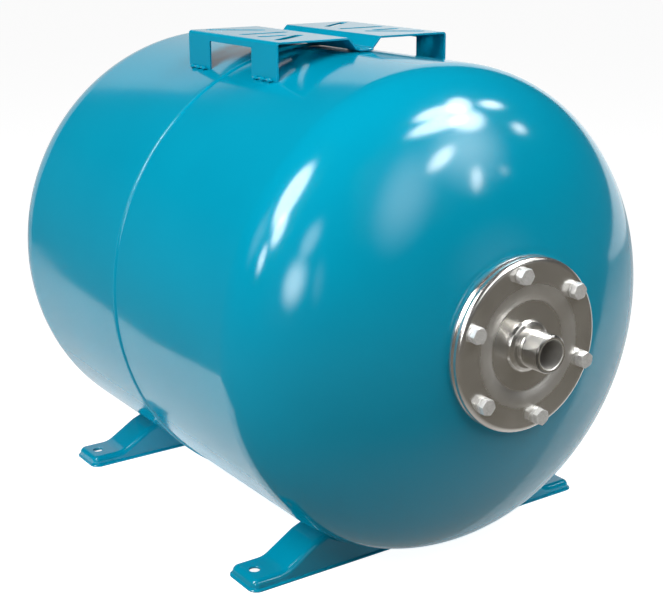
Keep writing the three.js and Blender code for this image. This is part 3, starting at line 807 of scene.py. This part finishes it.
FOOT_SHEET = 2 * MM
FOOT_LIP = 2.4 * MM
PAD_Z = 10 * MM
PAD_END_X = 158 * MM
SHOULDER = (126 * MM, 29.5 * MM)
CONTACT_X = 112.5 * MM
FOOT_BEND = 6 * MM
FOOT_CORNER = 7 * MM
FOOT_HOLE_X = 178.5 * MM
FOOT_ARC = 7
FOOT_OUTSIDE = 7 + FOOT_ARC + 1  # points of a foot's section that lie outside


def saddle_z(x):
    return AXIS_Z - math.sqrt((RADIUS + 0.2 * MM) ** 2 - x * x)


def foot_line(half_width):
    """(x, z) points along half of a foot's top, from the pad's end to the middle of the saddle."""
    line = rounded([(half_width, PAD_Z), (PAD_END_X, PAD_Z, 22 * MM), (*SHOULDER, 16 * MM),
                    (CONTACT_X, saddle_z(CONTACT_X))], closed=False, step=5)
    steps = 28
    line += [(CONTACT_X * (1 - i / steps), saddle_z(CONTACT_X * (1 - i / steps))) for i in range(1, steps + 1)]
    return line


def height_on(line, x):
    """The height of a line of (x, z) points, listed from high x to low, at x."""
    x = abs(x)
    if x >= line[0][0]:
        return line[0][1]
    for (x1, z1), (x0, z0) in zip(line, line[1:]):
        if x0 <= x <= x1:
            return z0 + (z1 - z0) * (x - x0) / (x1 - x0) if x1 > x0 else z1
    return line[-1][1]


def foot_section(top):
    """(inset, z) points through a foot's wall where its top is at `top`: outside up, then inside down."""
    lip_z = FOOT_SHEET * 0.9
    bend = min(FOOT_BEND, 0.75 * (top - lip_z))
    inner_bend = max(0.3 * MM, bend - FOOT_SHEET)
    lip_round = 0.6 * MM
    points = [(-FOOT_LIP + 0.4 * MM, 0), (-FOOT_LIP, 0.4 * MM), (-FOOT_LIP, lip_z - lip_round),
              (-FOOT_LIP + lip_round, lip_z)]
    fillet = min(1.5 * MM, 0.25 * (top - lip_z))
    points += [(-fillet, lip_z), (-fillet * 0.3, lip_z + fillet * 0.3), (0, lip_z + fillet)]
    for i in range(FOOT_ARC + 1):
        a = math.pi / 2 * i / FOOT_ARC
        points.append((bend * (1 - math.cos(a)), top - bend + bend * math.sin(a)))
    inner_top = top - FOOT_SHEET
    inner = [(FOOT_SHEET + inner_bend * (1 - math.cos(a)), inner_top - inner_bend + inner_bend * math.sin(a))
             for a in (math.pi / 2 * i / 4 for i in range(5))]
    points += inner[::-1]
    return points + [(FOOT_SHEET, 0.6 * MM), (FOOT_SHEET - 0.6 * MM, 0)]


def foot(name, node):
    low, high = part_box(node)
    centre_y = (low.y + high.y) / 2
    half_width = high.x - FOOT_LIP
    half_depth = (high.y - low.y) / 2 - FOOT_LIP
    line = foot_line(half_width)
    corner_x, corner_y = half_width - FOOT_CORNER, half_depth - FOOT_CORNER

    # Half of the plan outline, from the middle of the +X end round the front to the middle of the -X end.
    outline = [((half_width, 0), (1, 0)), ((half_width, -corner_y / 2), (1, 0))]
    for i in range(9):
        a = math.pi / 2 * i / 8
        n = (math.cos(a), -math.sin(a))
        outline.append(((corner_x + FOOT_CORNER * n[0], -corner_y + FOOT_CORNER * n[1]), n))
    stations = sorted({round(x, 6) for x, _ in line if x < corner_x - 0.5 * MM}, reverse=True)
    stations = [x for x in stations if x > 0] + [0.0]
    outline += [((x, -half_depth), (0, -1)) for x in stations]
    outline += [((-x, y), (-nx, ny)) for (x, y), (nx, ny) in reversed(outline[:-1])]

    bm = bmesh.new()

    def ring_points(flip):
        columns = []
        for (x, y), (nx, ny) in outline:
            section = foot_section(height_on(line, x))
            column = [(x - nx * inset, (y - ny * inset) * flip) for inset, _ in section]
            tops = [foot_section(height_on(line, px))[k][1] for k, (px, _) in enumerate(column)]
            columns.append([bm.verts.new((px, centre_y + py, z)) for (px, py), z in zip(column, tops)])
        return columns

    front = ring_points(1)
    back = ring_points(-1)
    count = len(front[0])
    for columns in (front, back):
        for one, two in zip(columns, columns[1:]):
            for k in range(count):
                m = (k + 1) % count
                if k != FOOT_OUTSIDE - 1:
                    bm.faces.new((one[k], one[m], two[m], two[k]))
    # The two halves meet over the top (last outside point) and under it (first inside point).
    for k in (FOOT_OUTSIDE - 1, FOOT_OUTSIDE):
        for i in range(len(front) - 1):
            bm.faces.new((front[i][k], front[i + 1][k], back[i + 1][k], back[i][k]))
    obj = new_object(name, bm, 35)
    holes = []
    for x in (-FOOT_HOLE_X, FOOT_HOLE_X):
        tool = drill_mesh(5 * MM, PAD_Z - FOOT_SHEET, PAD_Z, 0.3 * MM, Vector((0, 0, 0)))
        holes.append(vertical(tool, Vector((x, centre_y, 0))))
    return cut(obj, holes, 35)


stands_for(foot("front_foot_pressing", "front_foot"), "front_foot", "enamel")
stands_for(foot("rear_foot_pressing", "rear_foot"), "rear_foot", "enamel")


def foot_weld(end, side):
    """A run of weld along the tank's underside in front of a foot."""
    node = f"{end}_foot_weld_{side}"
    low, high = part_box(node)
    y = (low.y + high.y) / 2
    sign = -1 if side == "left" else 1
    angles = [math.asin(x / (RADIUS + 2.2 * MM)) for x in (low.x, high.x)]
    steps, sides = 40, 14
    bm = bmesh.new()
    rings = []
    for i in range(steps + 1):
        t = i / steps
        a = angles[0] + (angles[1] - angles[0]) * t
        out = Vector((math.sin(a), 0, -math.cos(a)))
        taper = math.sin(math.pi * t) ** 0.35 if 0 < t < 1 else 0.05
        bead = 2.1 * MM * taper * (1 + 0.18 * noise.noise(Vector((t * 9, y * 50, sign))))
        centre = AXIS + out * (RADIUS + 1.5 * MM) + Vector((0, y + 0.4 * MM, 0))
        rings.append(round_ring(bm, centre, out, Vector((0, 1, 0)), lambda b: bead, sides))
    return stands_for(new_object(f"{node}_bead", skin(bm, rings), 60), node, "enamel")


for foot_end in ("front", "rear"):
    for foot_side in ("left", "right"):
        foot_weld(foot_end, foot_side)


# ---- The pump bracket ----

DECK_SHEET = 2 * MM
DECK_Z = DECK_HIGH.z
SLOPE_TOP_X, SLOPE_BOTTOM_X = 17.7 * MM, 8.5 * MM
WINDOW_FRONT_Y, WINDOW_REAR_Y = FLANGE_Y + 282 * MM, FLANGE_Y + 360 * MM
WINDOW_TOP_Z = AXIS_Z + RADIUS + 5.7 * MM
SLOT_RADIUS = 4.3 * MM
# One deck's slots, for +X: centre across and along from the flange's face, half length, angle in degrees.
DECK_SLOTS = [(61, 273, 25, -36), (66, 295, 11, 0), (57, 325, 22, 0), (60, 373, 25, 38)]


def pump_bracket():
    half_width = DECK_HIGH.x
    valley_z = SEAM_HIGH.z + 0.2 * MM + DECK_SHEET
    bend = 3.2 * MM

    def line(inset):
        leg_x = half_width - inset
        leg_z = AXIS_Z + math.sqrt((RADIUS + 0.1 * MM) ** 2 - leg_x ** 2)
        slope = math.atan2(DECK_Z - valley_z, SLOPE_TOP_X - SLOPE_BOTTOM_X)
        shift = inset * math.tan(slope / 2)
        outside = bend if inset == 0 else bend - DECK_SHEET
        valley = bend - DECK_SHEET if inset == 0 else bend
        return [(leg_x, leg_z, 0), (leg_x, DECK_Z - inset, outside),
                (SLOPE_TOP_X + shift, DECK_Z - inset, outside),
                (SLOPE_BOTTOM_X + shift, valley_z - inset, valley)]

    def mirrored(points):
        return [(-x, z, r) for x, z, r in points]

    top, bottom = line(0), line(DECK_SHEET)
    corners = mirrored(top) + top[::-1] + bottom + mirrored(bottom)[::-1]
    outline = rounded(corners, step=15)
    bm = extruded_mesh(outline, DECK_LOW.y, DECK_HIGH.y, lambda x, z, y: (x, y, z))
    obj = new_object("pump_bracket_sheet", bm, 35)
    cutters = []
    for sign in (-1, 1):
        x0, x1 = sorted((sign * SLOPE_TOP_X * 1.2, sign * (half_width + 5 * MM)))
        corner = 0.8 * MM
        window = rounded([(WINDOW_FRONT_Y, AXIS_Z, 0), (WINDOW_REAR_Y, AXIS_Z, 0),
                          (WINDOW_REAR_Y, WINDOW_TOP_Z, corner), (WINDOW_FRONT_Y, WINDOW_TOP_Z, corner)])
        cutters.append(extruded_mesh(window, x0, x1, lambda y, z, x: (x, y, z)))
        for x, y, half, angle in DECK_SLOTS:
            turn = math.radians(sign * angle)
            centre = Vector((sign * x * MM, FLANGE_Y + y * MM))
            arc = [Vector((half * MM + SLOT_RADIUS * math.cos(a), SLOT_RADIUS * math.sin(a)))
                   for a in (-math.pi / 2 + math.pi * i / 14 for i in range(15))]
            arc += [-p for p in arc]
            slot = [(centre.x + p.x * math.cos(turn) - p.y * math.sin(turn),
                     centre.y + p.x * math.sin(turn) + p.y * math.cos(turn)) for p in arc]
            cutters.append(extruded_mesh(slot, DECK_Z - 5 * MM, DECK_Z + 5 * MM, lambda a, b, z: (a, b, z)))
    cut(obj, cutters, 35)
    return bevelled(obj, 0.35 * MM, segments=3, angle=50, smooth_angle=40)


def weld_run(node, direction, seed, swelling=0.6, bead=1.75 * MM):
    """A run along `direction` that may swell three times, where the torch dwelt."""
    low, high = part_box(node)
    centre = (low + high) / 2
    along = Vector(direction)
    length = abs((high - low).dot(along))
    aside = Vector((0, 0, 1)).cross(along)
    steps, sides = 60, 18
    bm = bmesh.new()
    rings = []
    for i in range(steps + 1):
        t = i / steps
        swell = 0.5 - 0.5 * math.cos(3 * TAU * t)
        ends = min(1.0, 9 * t, 9 * (1 - t)) ** 0.5 if 0 < t < 1 else 0.1
        r = bead * ends * (1.1 - swelling + swelling * swell ** 1.3)

        def lumpy(b):
            return r * (1 + 0.16 * noise.noise(Vector((t * 14, math.cos(b), math.sin(b) + seed))))

        middle = centre + along * (length * (t - 0.5))
        rings.append(round_ring(bm, middle, Vector((0, 0, 1)), aside, lumpy, sides))
    return stands_for(new_object(f"{node}_bead", skin(bm, rings), 60), node, "enamel")


stands_for(pump_bracket(), "pump_bracket", "enamel")
for run_number, leg in enumerate(("front_left", "front_right", "rear_left", "rear_right")):
    weld_run(f"bracket_weld_{leg}", (0, 1, 0), 2.0 * run_number)
for run_number, crown_end in enumerate(("front", "rear")):
    weld_run(f"crown_weld_{crown_end}", (1, 0, 0), 11.0 + run_number, swelling=0.1, bead=1.2 * MM)


# ---- The air valve ----


def valve_body():
    low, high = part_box("valve_body")
    stem, thread = 3.85 * MM, 8 * MM
    thread_end = REAR_LAND_Y + 11 * MM
    collar_y = REAR_LAND_Y - WALL - GAP
    profile = rounded([
        (1.4 * MM, low.y), (12 * MM, low.y, 0.6 * MM), (12 * MM, collar_y, 0.4 * MM), (thread, collar_y),
        (thread, thread_end, 1 * MM), (stem + 0.5 * MM, thread_end, 0.5 * MM),
        (stem, thread_end + 1.5 * MM, 1 * MM),
        (stem, high.y, 0.5 * MM), (2.7 * MM, high.y, 0.2 * MM), (2.7 * MM, high.y - 20.5 * MM),
        (1.4 * MM, high.y - 20.5 * MM)])
    return turned("valve_body_turned", profile, segments=64)


def plain_ring(name, node, inner, edge, segments=96):
    low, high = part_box(node)
    return turned(name, square(inner, high.x, low.y, high.y, edge), segments=segments)


def valve_nut():
    low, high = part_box("valve_nut")
    obj = linked("valve_nut_hexagon", joined_mesh([hex_head(low.y, high.y, 22 * MM, AXIS, 0)]))
    finish_shading(obj.data, 28)
    return cut(obj, [drill_mesh(8.2 * MM, low.y, high.y, 0.4 * MM, segments=64)], 28)


def valve_pin():
    low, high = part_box("valve_pin")
    pin, plunger = 0.6 * MM, 1.9 * MM
    plunger_low = high.y - 14.4 * MM
    profile = rounded([(0, low.y), (pin, low.y, 0.2 * MM), (pin, plunger_low), (plunger, plunger_low, 0.3 * MM),
                       (plunger, plunger_low + 2 * MM, 0.3 * MM), (pin, plunger_low + 2 * MM),
                       (pin, high.y, 0.25 * MM), (0, high.y)], closed=False)
    return turned("valve_pin_turned", profile, segments=32)


def valve_spring():
    low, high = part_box("valve_spring")
    wire, coil, turns = 0.28 * MM, 1.6 * MM, 4
    steps, sides = 200, 12
    start, end = low.y + wire, high.y - wire
    bm = bmesh.new()
    rings = []
    for i in range(steps + 1):
        t = i / steps
        a = TAU * turns * t
        y = start + (end - start) * t
        out = Vector((math.cos(a), 0, math.sin(a)))
        middle = AXIS + out * coil + Vector((0, y, 0))
        rings.append(round_ring(bm, middle, out, Vector((0, 1, 0)), lambda b: wire, sides))
    return new_object("valve_spring_wire", skin(bm, rings), 60)


def ribbed(bm, count, depth, inner, low, high, run):
    """Sinks `count` grooves of `depth` into the outside of a turned mesh, between low and high along Y."""
    for v in bm.verts:
        offset = v.co - AXIS
        radius = math.hypot(offset.x, offset.z)
        if radius <= inner or not low - run < v.co.y < high + run:
            continue
        share = min(1.0, (v.co.y - low + run) / run, (high + run - v.co.y) / run)
        angle = math.atan2(offset.x, offset.z)
        groove = depth * share * (0.5 - 0.5 * math.cos(count * angle)) ** 2
        scale = (radius - groove) / radius
        v.co.x = offset.x * scale
        v.co.z = AXIS_Z + offset.z * scale
    return bm


def valve_cap():
    """A screw cap with fine grip ribs round its side."""
    low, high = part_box("valve_cap")
    outer, bore = 5.6 * MM, 4.15 * MM
    rib_low, rib_high = low.y + 1.8 * MM, high.y - 2.4 * MM
    ceiling = high.y - 2 * MM
    inside = [(0, ceiling), (bore, ceiling), (bore, low.y + 0.3 * MM)]
    skirt = rounded([(bore + 0.2 * MM, low.y), (outer, low.y, 0.4 * MM), (outer, rib_low - 0.6 * MM)],
                    closed=False)
    side = [(outer, rib_low - 0.5 * MM + (rib_high - rib_low + 1 * MM) * i / 12) for i in range(13)]
    crown = rounded([(outer, rib_high + 0.6 * MM), (outer, high.y, 1.2 * MM), (0, high.y)], closed=False)
    bm = turned_mesh(inside + skirt + side + crown, 240)
    ribbed(bm, 24, 0.25 * MM, bore + 0.4 * MM, rib_low, rib_high, 0.5 * MM)
    return new_object("valve_cap_moulding", bm, 35)


def valve_guard():
    """A push-on cover with upright grip ribs between its skirt and its crown."""
    low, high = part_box("valve_guard")
    base, body, top, bore = 21 * MM, 17.2 * MM, 15.6 * MM, 13.6 * MM
    rib_low, rib_high = low.y + 6 * MM, high.y - 6 * MM
    ceiling = high.y - 2.4 * MM
    outside = rounded([(bore, low.y, 0.3 * MM), (base, low.y, 0.6 * MM), (base, low.y + 2 * MM, 0.8 * MM),
                       (body, low.y + 3.5 * MM, 1.2 * MM), (body - 0.2 * MM, rib_low - 1 * MM)],
                      closed=False)[1:]
    tall = [(body - 0.2 * MM - 1.2 * MM * t, rib_low - 1 * MM + (rib_high - rib_low + 2 * MM) * t)
            for t in (i / 24 for i in range(25))]
    crown = rounded([(top + 0.1 * MM, rib_high + 1.2 * MM), (top, high.y, 2.5 * MM), (0, high.y)], closed=False)
    inside = [(0, ceiling), (bore - 0.6 * MM, ceiling), (bore, ceiling - 0.6 * MM), (bore, low.y + 0.4 * MM),
              (bore + 0.4 * MM, low.y)]
    bm = turned_mesh(inside + outside + tall + crown, 336)
    ribbed(bm, 28, 0.5 * MM, bore + 0.8 * MM, rib_low, rib_high, 1 * MM)
    return new_object("valve_guard_moulding", bm, 35)


stands_for(valve_body(), "valve_body", "brass")
seal_ring = plain_ring("valve_seal_ring", "valve_seal", 8.2 * MM, 0.4 * MM)
stands_for(seal_ring, "valve_seal", "butyl_rubber")
stands_for(valve_nut(), "valve_nut", "brass")
core = plain_ring("valve_core_turned", "valve_core", 0.95 * MM, 0.15 * MM, 48)
stands_for(core, "valve_core", "brass")
stands_for(valve_pin(), "valve_pin", "brass", "pin")
spring = stands_for(valve_spring(), "valve_spring", "spring_steel")
stands_for(valve_cap(), "valve_cap", "black_plastic", "cap")
seal_low, seal_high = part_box("valve_cap_seal")
seal_profile = rounded([(0, seal_low.y), (seal_high.x, seal_low.y, 0.25 * MM),
                        (seal_high.x, seal_high.y, 0.25 * MM), (0, seal_high.y)], closed=False)
cap_seal = turned("valve_cap_seal_disc", seal_profile, segments=48)
stands_for(cap_seal, "valve_cap_seal", "butyl_rubber", "cap_lift_stage")
stands_for(valve_guard(), "valve_guard", "black_plastic", "guard")
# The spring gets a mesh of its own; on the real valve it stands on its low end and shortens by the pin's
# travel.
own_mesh(spring)


# ---- Floor, light and camera ----

# Lamp faces that only reflections see: centre, half width and half height in metres, radiance, softness.
LAMP_FACES = [
    ("petal_1", (0.61, -1.11, 2.10), (0.52, 0.16, -0.11), (-0.00, -0.16, -0.08), 18, 0.45),
    ("petal_2", (0.70, -0.83, 2.19), (0.42, 0.15, -0.12), (-0.01, -0.19, -0.06), 18, 0.45),
    ("crown", (1.00, -0.68, 2.09), (0.19, -0.01, -0.11), (-0.06, -0.28, -0.04), 17, 0.5),
    ("heart", (1.03, -1.03, 1.94), (0.10, -0.21, -0.17), (-0.19, -0.28, -0.02), 17, 0.6),
    ("petal_3", (1.38, -0.57, 1.85), (0.15, 0.15, -0.10), (-0.02, -0.15, -0.02), 15, 0.7),
    ("petal_4", (1.58, -0.88, 1.51), (0.08, -0.03, -0.11), (-0.06, -0.14, -0.00), 13, 0.9),
    ("petal_5", (0.54, -1.64, 1.73), (0.23, 0.21, 0.12), (0.08, -0.07, -0.11), 16, 0.6),
    ("petal_6", (0.93, -1.77, 1.32), (-0.04, -0.15, -0.19), (-0.10, -0.03, 0.04), 14, 0.8),
    ("petal_7", (1.27, -1.56, 1.26), (0.03, -0.04, -0.09), (-0.07, -0.07, -0.00), 5, 1.0),
    ("halo", (0.89, -1.49, 1.69), (0.62, 0.11, -0.30), (-0.17, -0.66, -0.42), 5.0, 1.0),
    ("drape", (-0.05, -1.93, 1.49), (0.50, -0.18, -0.24), (-0.26, -0.58, -0.73), 2.8, 0.9),
    # The next two are not lamps: they are glowing cards that paint the reflections of a lit low wall and of the
    # lit front edge of the paper.
    ("low_wall_glow", (0.95, -1.95, 0.45), (0.60, 0.33, 0.0), (-0.03, 0.05, 0.45), 0.4, 1.0),
    ("paper_edge_glow", (0.12, -0.36, -0.003), (0.52, -0.12, 0.0), (0.05, 0.24, 0.0), 0.5, 1.0),
    ("blade_1", (-1.53, -0.01, 1.82), (0.47, 0.19, 0.39), (-0.04, -0.43, 0.03), 18, 0.4),
    ("blade_2", (-1.86, -0.29, 1.43), (0.18, 0.05, 0.28), (0.01, -0.27, -0.00), 17, 0.6),
    ("blade_3", (-2.06, -0.04, 1.02), (0.10, 0.07, 0.25), (-0.01, -0.18, 0.01), 15, 0.7),
    ("ghost_1", (-1.83, 0.54, 1.21), (0.25, 0.00, 0.46), (-0.12, -0.32, 0.06), 1.6, 1.0),
    ("panel_1", (-1.55, -1.34, 1.30), (0.23, -0.02, 0.30), (0.12, -0.22, -0.08), 4.5, 0.7),
    ("panel_2", (-1.82, -1.33, 0.74), (0.10, 0.04, 0.44), (0.21, -0.35, -0.06), 9.5, 0.8),
    ("ghost_2", (-1.43, -1.77, 0.71), (0.02, -0.12, -0.38), (-0.13, 0.11, 0.02), 1.2, 1.0),
]
LIGHT_DISTANCE = 1.5
# Azimuth and elevation in degrees, size in metres, power in watts.
LIGHTS = [("left_lamp", -85, 40, 0.8, 21.5), ("right_lamp", 40, 53, 0.8, 11.5),
          ("front_lamp", -5, 38, 0.8, 7.5), ("side_lamp", -60, 10, 0.6, 1.6)]
FLOOR_HALF, BOUNCE_HALF, BACKDROP_RADIUS = 40, 6, 24
# Depths of the stage's layers under the object, so that no two lie in one plane.
PAPER_Z, BOUNCE_Z = -2 * MM, -4 * MM
BACKDROP_GLOW = 0.9
RISE_GLOW = (1.0, 2.2, 0.75, 1.4)  # from x, to x, glow at the first, glow at the second
GROUND_GLOW, ROOM_GLOW = (0.16, 0.145, 0.12, 1), (0.018, 0.018, 0.018, 1)
# The white paper under and behind the vessel as reflections see it: its outline, and the tops of its rise, a
# glowing sheet that paints the reflection of lit paper.
PAPER = [(-0.71, 1.36), (-0.52, 0.87), (-0.42, 0.4), (-0.45, 0.12), (-0.41, -0.01), (-0.3, -0.06),
         (-0.1, -0.19), (0.05, -0.27), (0.22, -0.34), (0.42, -0.40), (0.66, -0.45), (1.1, -0.52), (2.2, -0.6),
         (2.3, 0.9), (1.6, 1.5), (0.0, 2.2), (-0.82, 2.04)]
RISE = [(2.2, -0.6, 0.05), (2.2, 0.0, 0.33), (2.02, 0.86, 0.76), (1.6, 1.5, 1.7), (0.9, 1.95, 1.7),
        (0.0, 2.2, 1.62), (-0.45, 2.15, 1.1), (-0.82, 2.04, 0.68)]


def staged(name, verts, faces, camera=False, diffuse=False, glossy=False):
    """A stage mesh that only some rays see."""
    mesh = bpy.data.meshes.new(name)
    mesh.from_pydata(verts, [], faces)
    obj = linked(name, mesh)
    obj.visible_camera = camera
    obj.visible_diffuse = diffuse
    obj.visible_glossy = glossy
    obj.visible_transmission = False
    obj.visible_volume_scatter = False
    obj.visible_shadow = False
    return obj


def glowing(name, strength_of):
    """An emission material; `strength_of` makes the strength's socket, or gives a number."""
    s = Surface(name, roughness=1.0)
    s.tree.nodes.remove(s.shader)
    glow = s.node("Emission")
    glow.inputs["Color"].default_value = (1, 1, 1, 1)
    strength = strength_of(s)
    if isinstance(strength, (int, float)):
        glow.inputs["Strength"].default_value = strength
    else:
        s.link(strength, glow.inputs["Strength"])
    return s, glow


def shine(obj, name, strength_of):
    s, glow = glowing(name, strength_of)
    s.link(glow.outputs[0], s.out.inputs["Surface"])
    obj.data.materials.append(s.material)


def lamp_face(name, centre, half_width, half_height, radiance, soft):
    """An oval glow that fades at its edge, seen in reflections only."""
    across, up = Vector(half_width), Vector(half_height)
    card = staged(name, [(-1, -1, 0), (1, -1, 0), (1, 1, 0), (-1, 1, 0)], [(0, 1, 2, 3)], glossy=True)
    out = across.cross(up).normalized()
    card.matrix_world = Matrix((
        (across.x, up.x, out.x, centre[0]), (across.y, up.y, out.y, centre[1]),
        (across.z, up.z, out.z, centre[2]), (0, 0, 0, 1)))

    def strength(s):
        length = s.node("VectorMath")
        length.operation = "LENGTH"
        s.link(s.place, length.inputs[0])
        return s.spread(length.outputs["Value"], 1.0, 1.0 - soft, 0.0, radiance, "SMOOTHSTEP")

    s, glow = glowing(name, strength)
    clear = s.node("BsdfTransparent")
    both = s.node("AddShader")
    s.link(glow.outputs[0], both.inputs[0])
    s.link(clear.outputs[0], both.inputs[1])
    s.link(both.outputs[0], s.out.inputs["Surface"])
    card.data.materials.append(s.material)


def soft_light(name, azimuth, elevation, size, energy):
    """A large area light for paint; reflections see the lamp faces in its place."""
    a, e = math.radians(azimuth), math.radians(elevation)
    out = Vector((math.sin(a) * math.cos(e), -math.cos(a) * math.cos(e), math.sin(e)))
    data = bpy.data.lights.new(name, "AREA")
    data.shape = "SQUARE"
    data.size = size
    data.energy = energy
    light = linked(name, data)
    light.location = AXIS + out * LIGHT_DISTANCE
    light.rotation_mode = "QUATERNION"
    light.rotation_quaternion = out.to_track_quat("Z", "Y")
    light.visible_glossy = False
    light.visible_camera = False


def sheet(name, half, z, albedo, own_light=0.0, **seen_by):
    corners = [(-half, -half, z), (half, -half, z), (half, half, z), (-half, half, z)]
    obj = staged(name, corners, [(0, 1, 2, 3)], **seen_by)
    paint(obj, name, albedo, own_light)


def paint(obj, name, albedo, own_light=0.0):
    """Matt white paper, with a little light of its own so that shadows on it stay pale."""
    s = Surface(name, roughness=0.95)
    s.shader.inputs["Specular IOR Level"].default_value = 0.0
    s.colour(s.ramp(s.noise(3, 2), [(0.3, (albedo,) * 3), (0.7, (albedo * 1.02,) * 3)]))
    s.shader.inputs["Emission Color"].default_value = (1, 1, 1, 1)
    s.shader.inputs["Emission Strength"].default_value = own_light
    obj.data.materials.append(s.material)


def studio():
    sheet("floor", FLOOR_HALF, 0.0, 0.40, own_light=0.95, camera=True)
    sheet("floor_bounce", BOUNCE_HALF, BOUNCE_Z, 0.24, own_light=0.10, diffuse=True)
    paper = staged("paper", [(x, y, PAPER_Z) for x, y in PAPER], [tuple(range(len(PAPER)))],
                   glossy=True, diffuse=True)
    paint(paper, "paper", 0.85, own_light=0.32)
    verts = [(x, y, z) for x, y, top in RISE for z in (0.0, top)]
    faces = [(2 * i, 2 * i + 2, 2 * i + 3, 2 * i + 1) for i in range(len(RISE) - 1)]
    # Painted reflection: the rise glows, brighter towards +x, in place of a paper sweep lit by the lamps.
    rise = staged("paper_rise_glow", verts, faces, glossy=True)

    def rise_strength(s):
        return s.spread(s.parts(s.place)[0], *RISE_GLOW)

    shine(rise, "paper_rise_glow", rise_strength)

    bm = bmesh.new()
    bmesh.ops.create_uvsphere(bm, u_segments=48, v_segments=24, radius=BACKDROP_RADIUS)
    bm.verts.index_update()
    faces = [[v.index for v in f.verts] for f in bm.faces]
    sky = staged("backdrop", [v.co[:] for v in bm.verts], faces, camera=True)
    bm.free()
    shine(sky, "backdrop", lambda s: BACKDROP_GLOW)

    for face in LAMP_FACES:
        lamp_face(*face)
    for light in LIGHTS:
        soft_light(*light)
    world()


def world():
    """Dim surroundings for reflections, warmer and paler below the horizon."""
    room = bpy.data.worlds.new("room")
    bpy.context.scene.world = room
    room.use_nodes = True
    tree = room.node_tree
    place = tree.nodes.new("ShaderNodeTexCoord").outputs["Generated"]
    split = tree.nodes.new("ShaderNodeSeparateXYZ")
    tree.links.new(place, split.inputs[0])
    up = tree.nodes.new("ShaderNodeMapRange")
    up.inputs["From Min"].default_value = -0.35
    up.inputs["From Max"].default_value = 0.3
    tree.links.new(split.outputs[2], up.inputs["Value"])
    ramp = tree.nodes.new("ShaderNodeValToRGB")
    ramp.color_ramp.elements[0].color = GROUND_GLOW
    ramp.color_ramp.elements[1].color = ROOM_GLOW
    tree.links.new(up.outputs["Result"], ramp.inputs["Fac"])
    tree.links.new(ramp.outputs["Color"], tree.nodes["Background"].inputs["Color"])


def camera():
    data = bpy.data.cameras.new("camera")
    data.sensor_width, data.lens = 36, 71.2
    data.shift_x = data.shift_y = -0.0302
    data.clip_start, data.clip_end = 0.05, 200
    cam = linked("camera", data)
    cam.location = (-0.72033, FLANGE_Y - 0.76801, 0.57761)
    cam.rotation_euler = (math.radians(90 - 15.61), 0, math.radians(-35.04))
    bpy.context.scene.camera = cam


studio()
camera()

scene = bpy.context.scene
scene.view_settings.view_transform = "Standard"
scene.view_settings.look = "None"
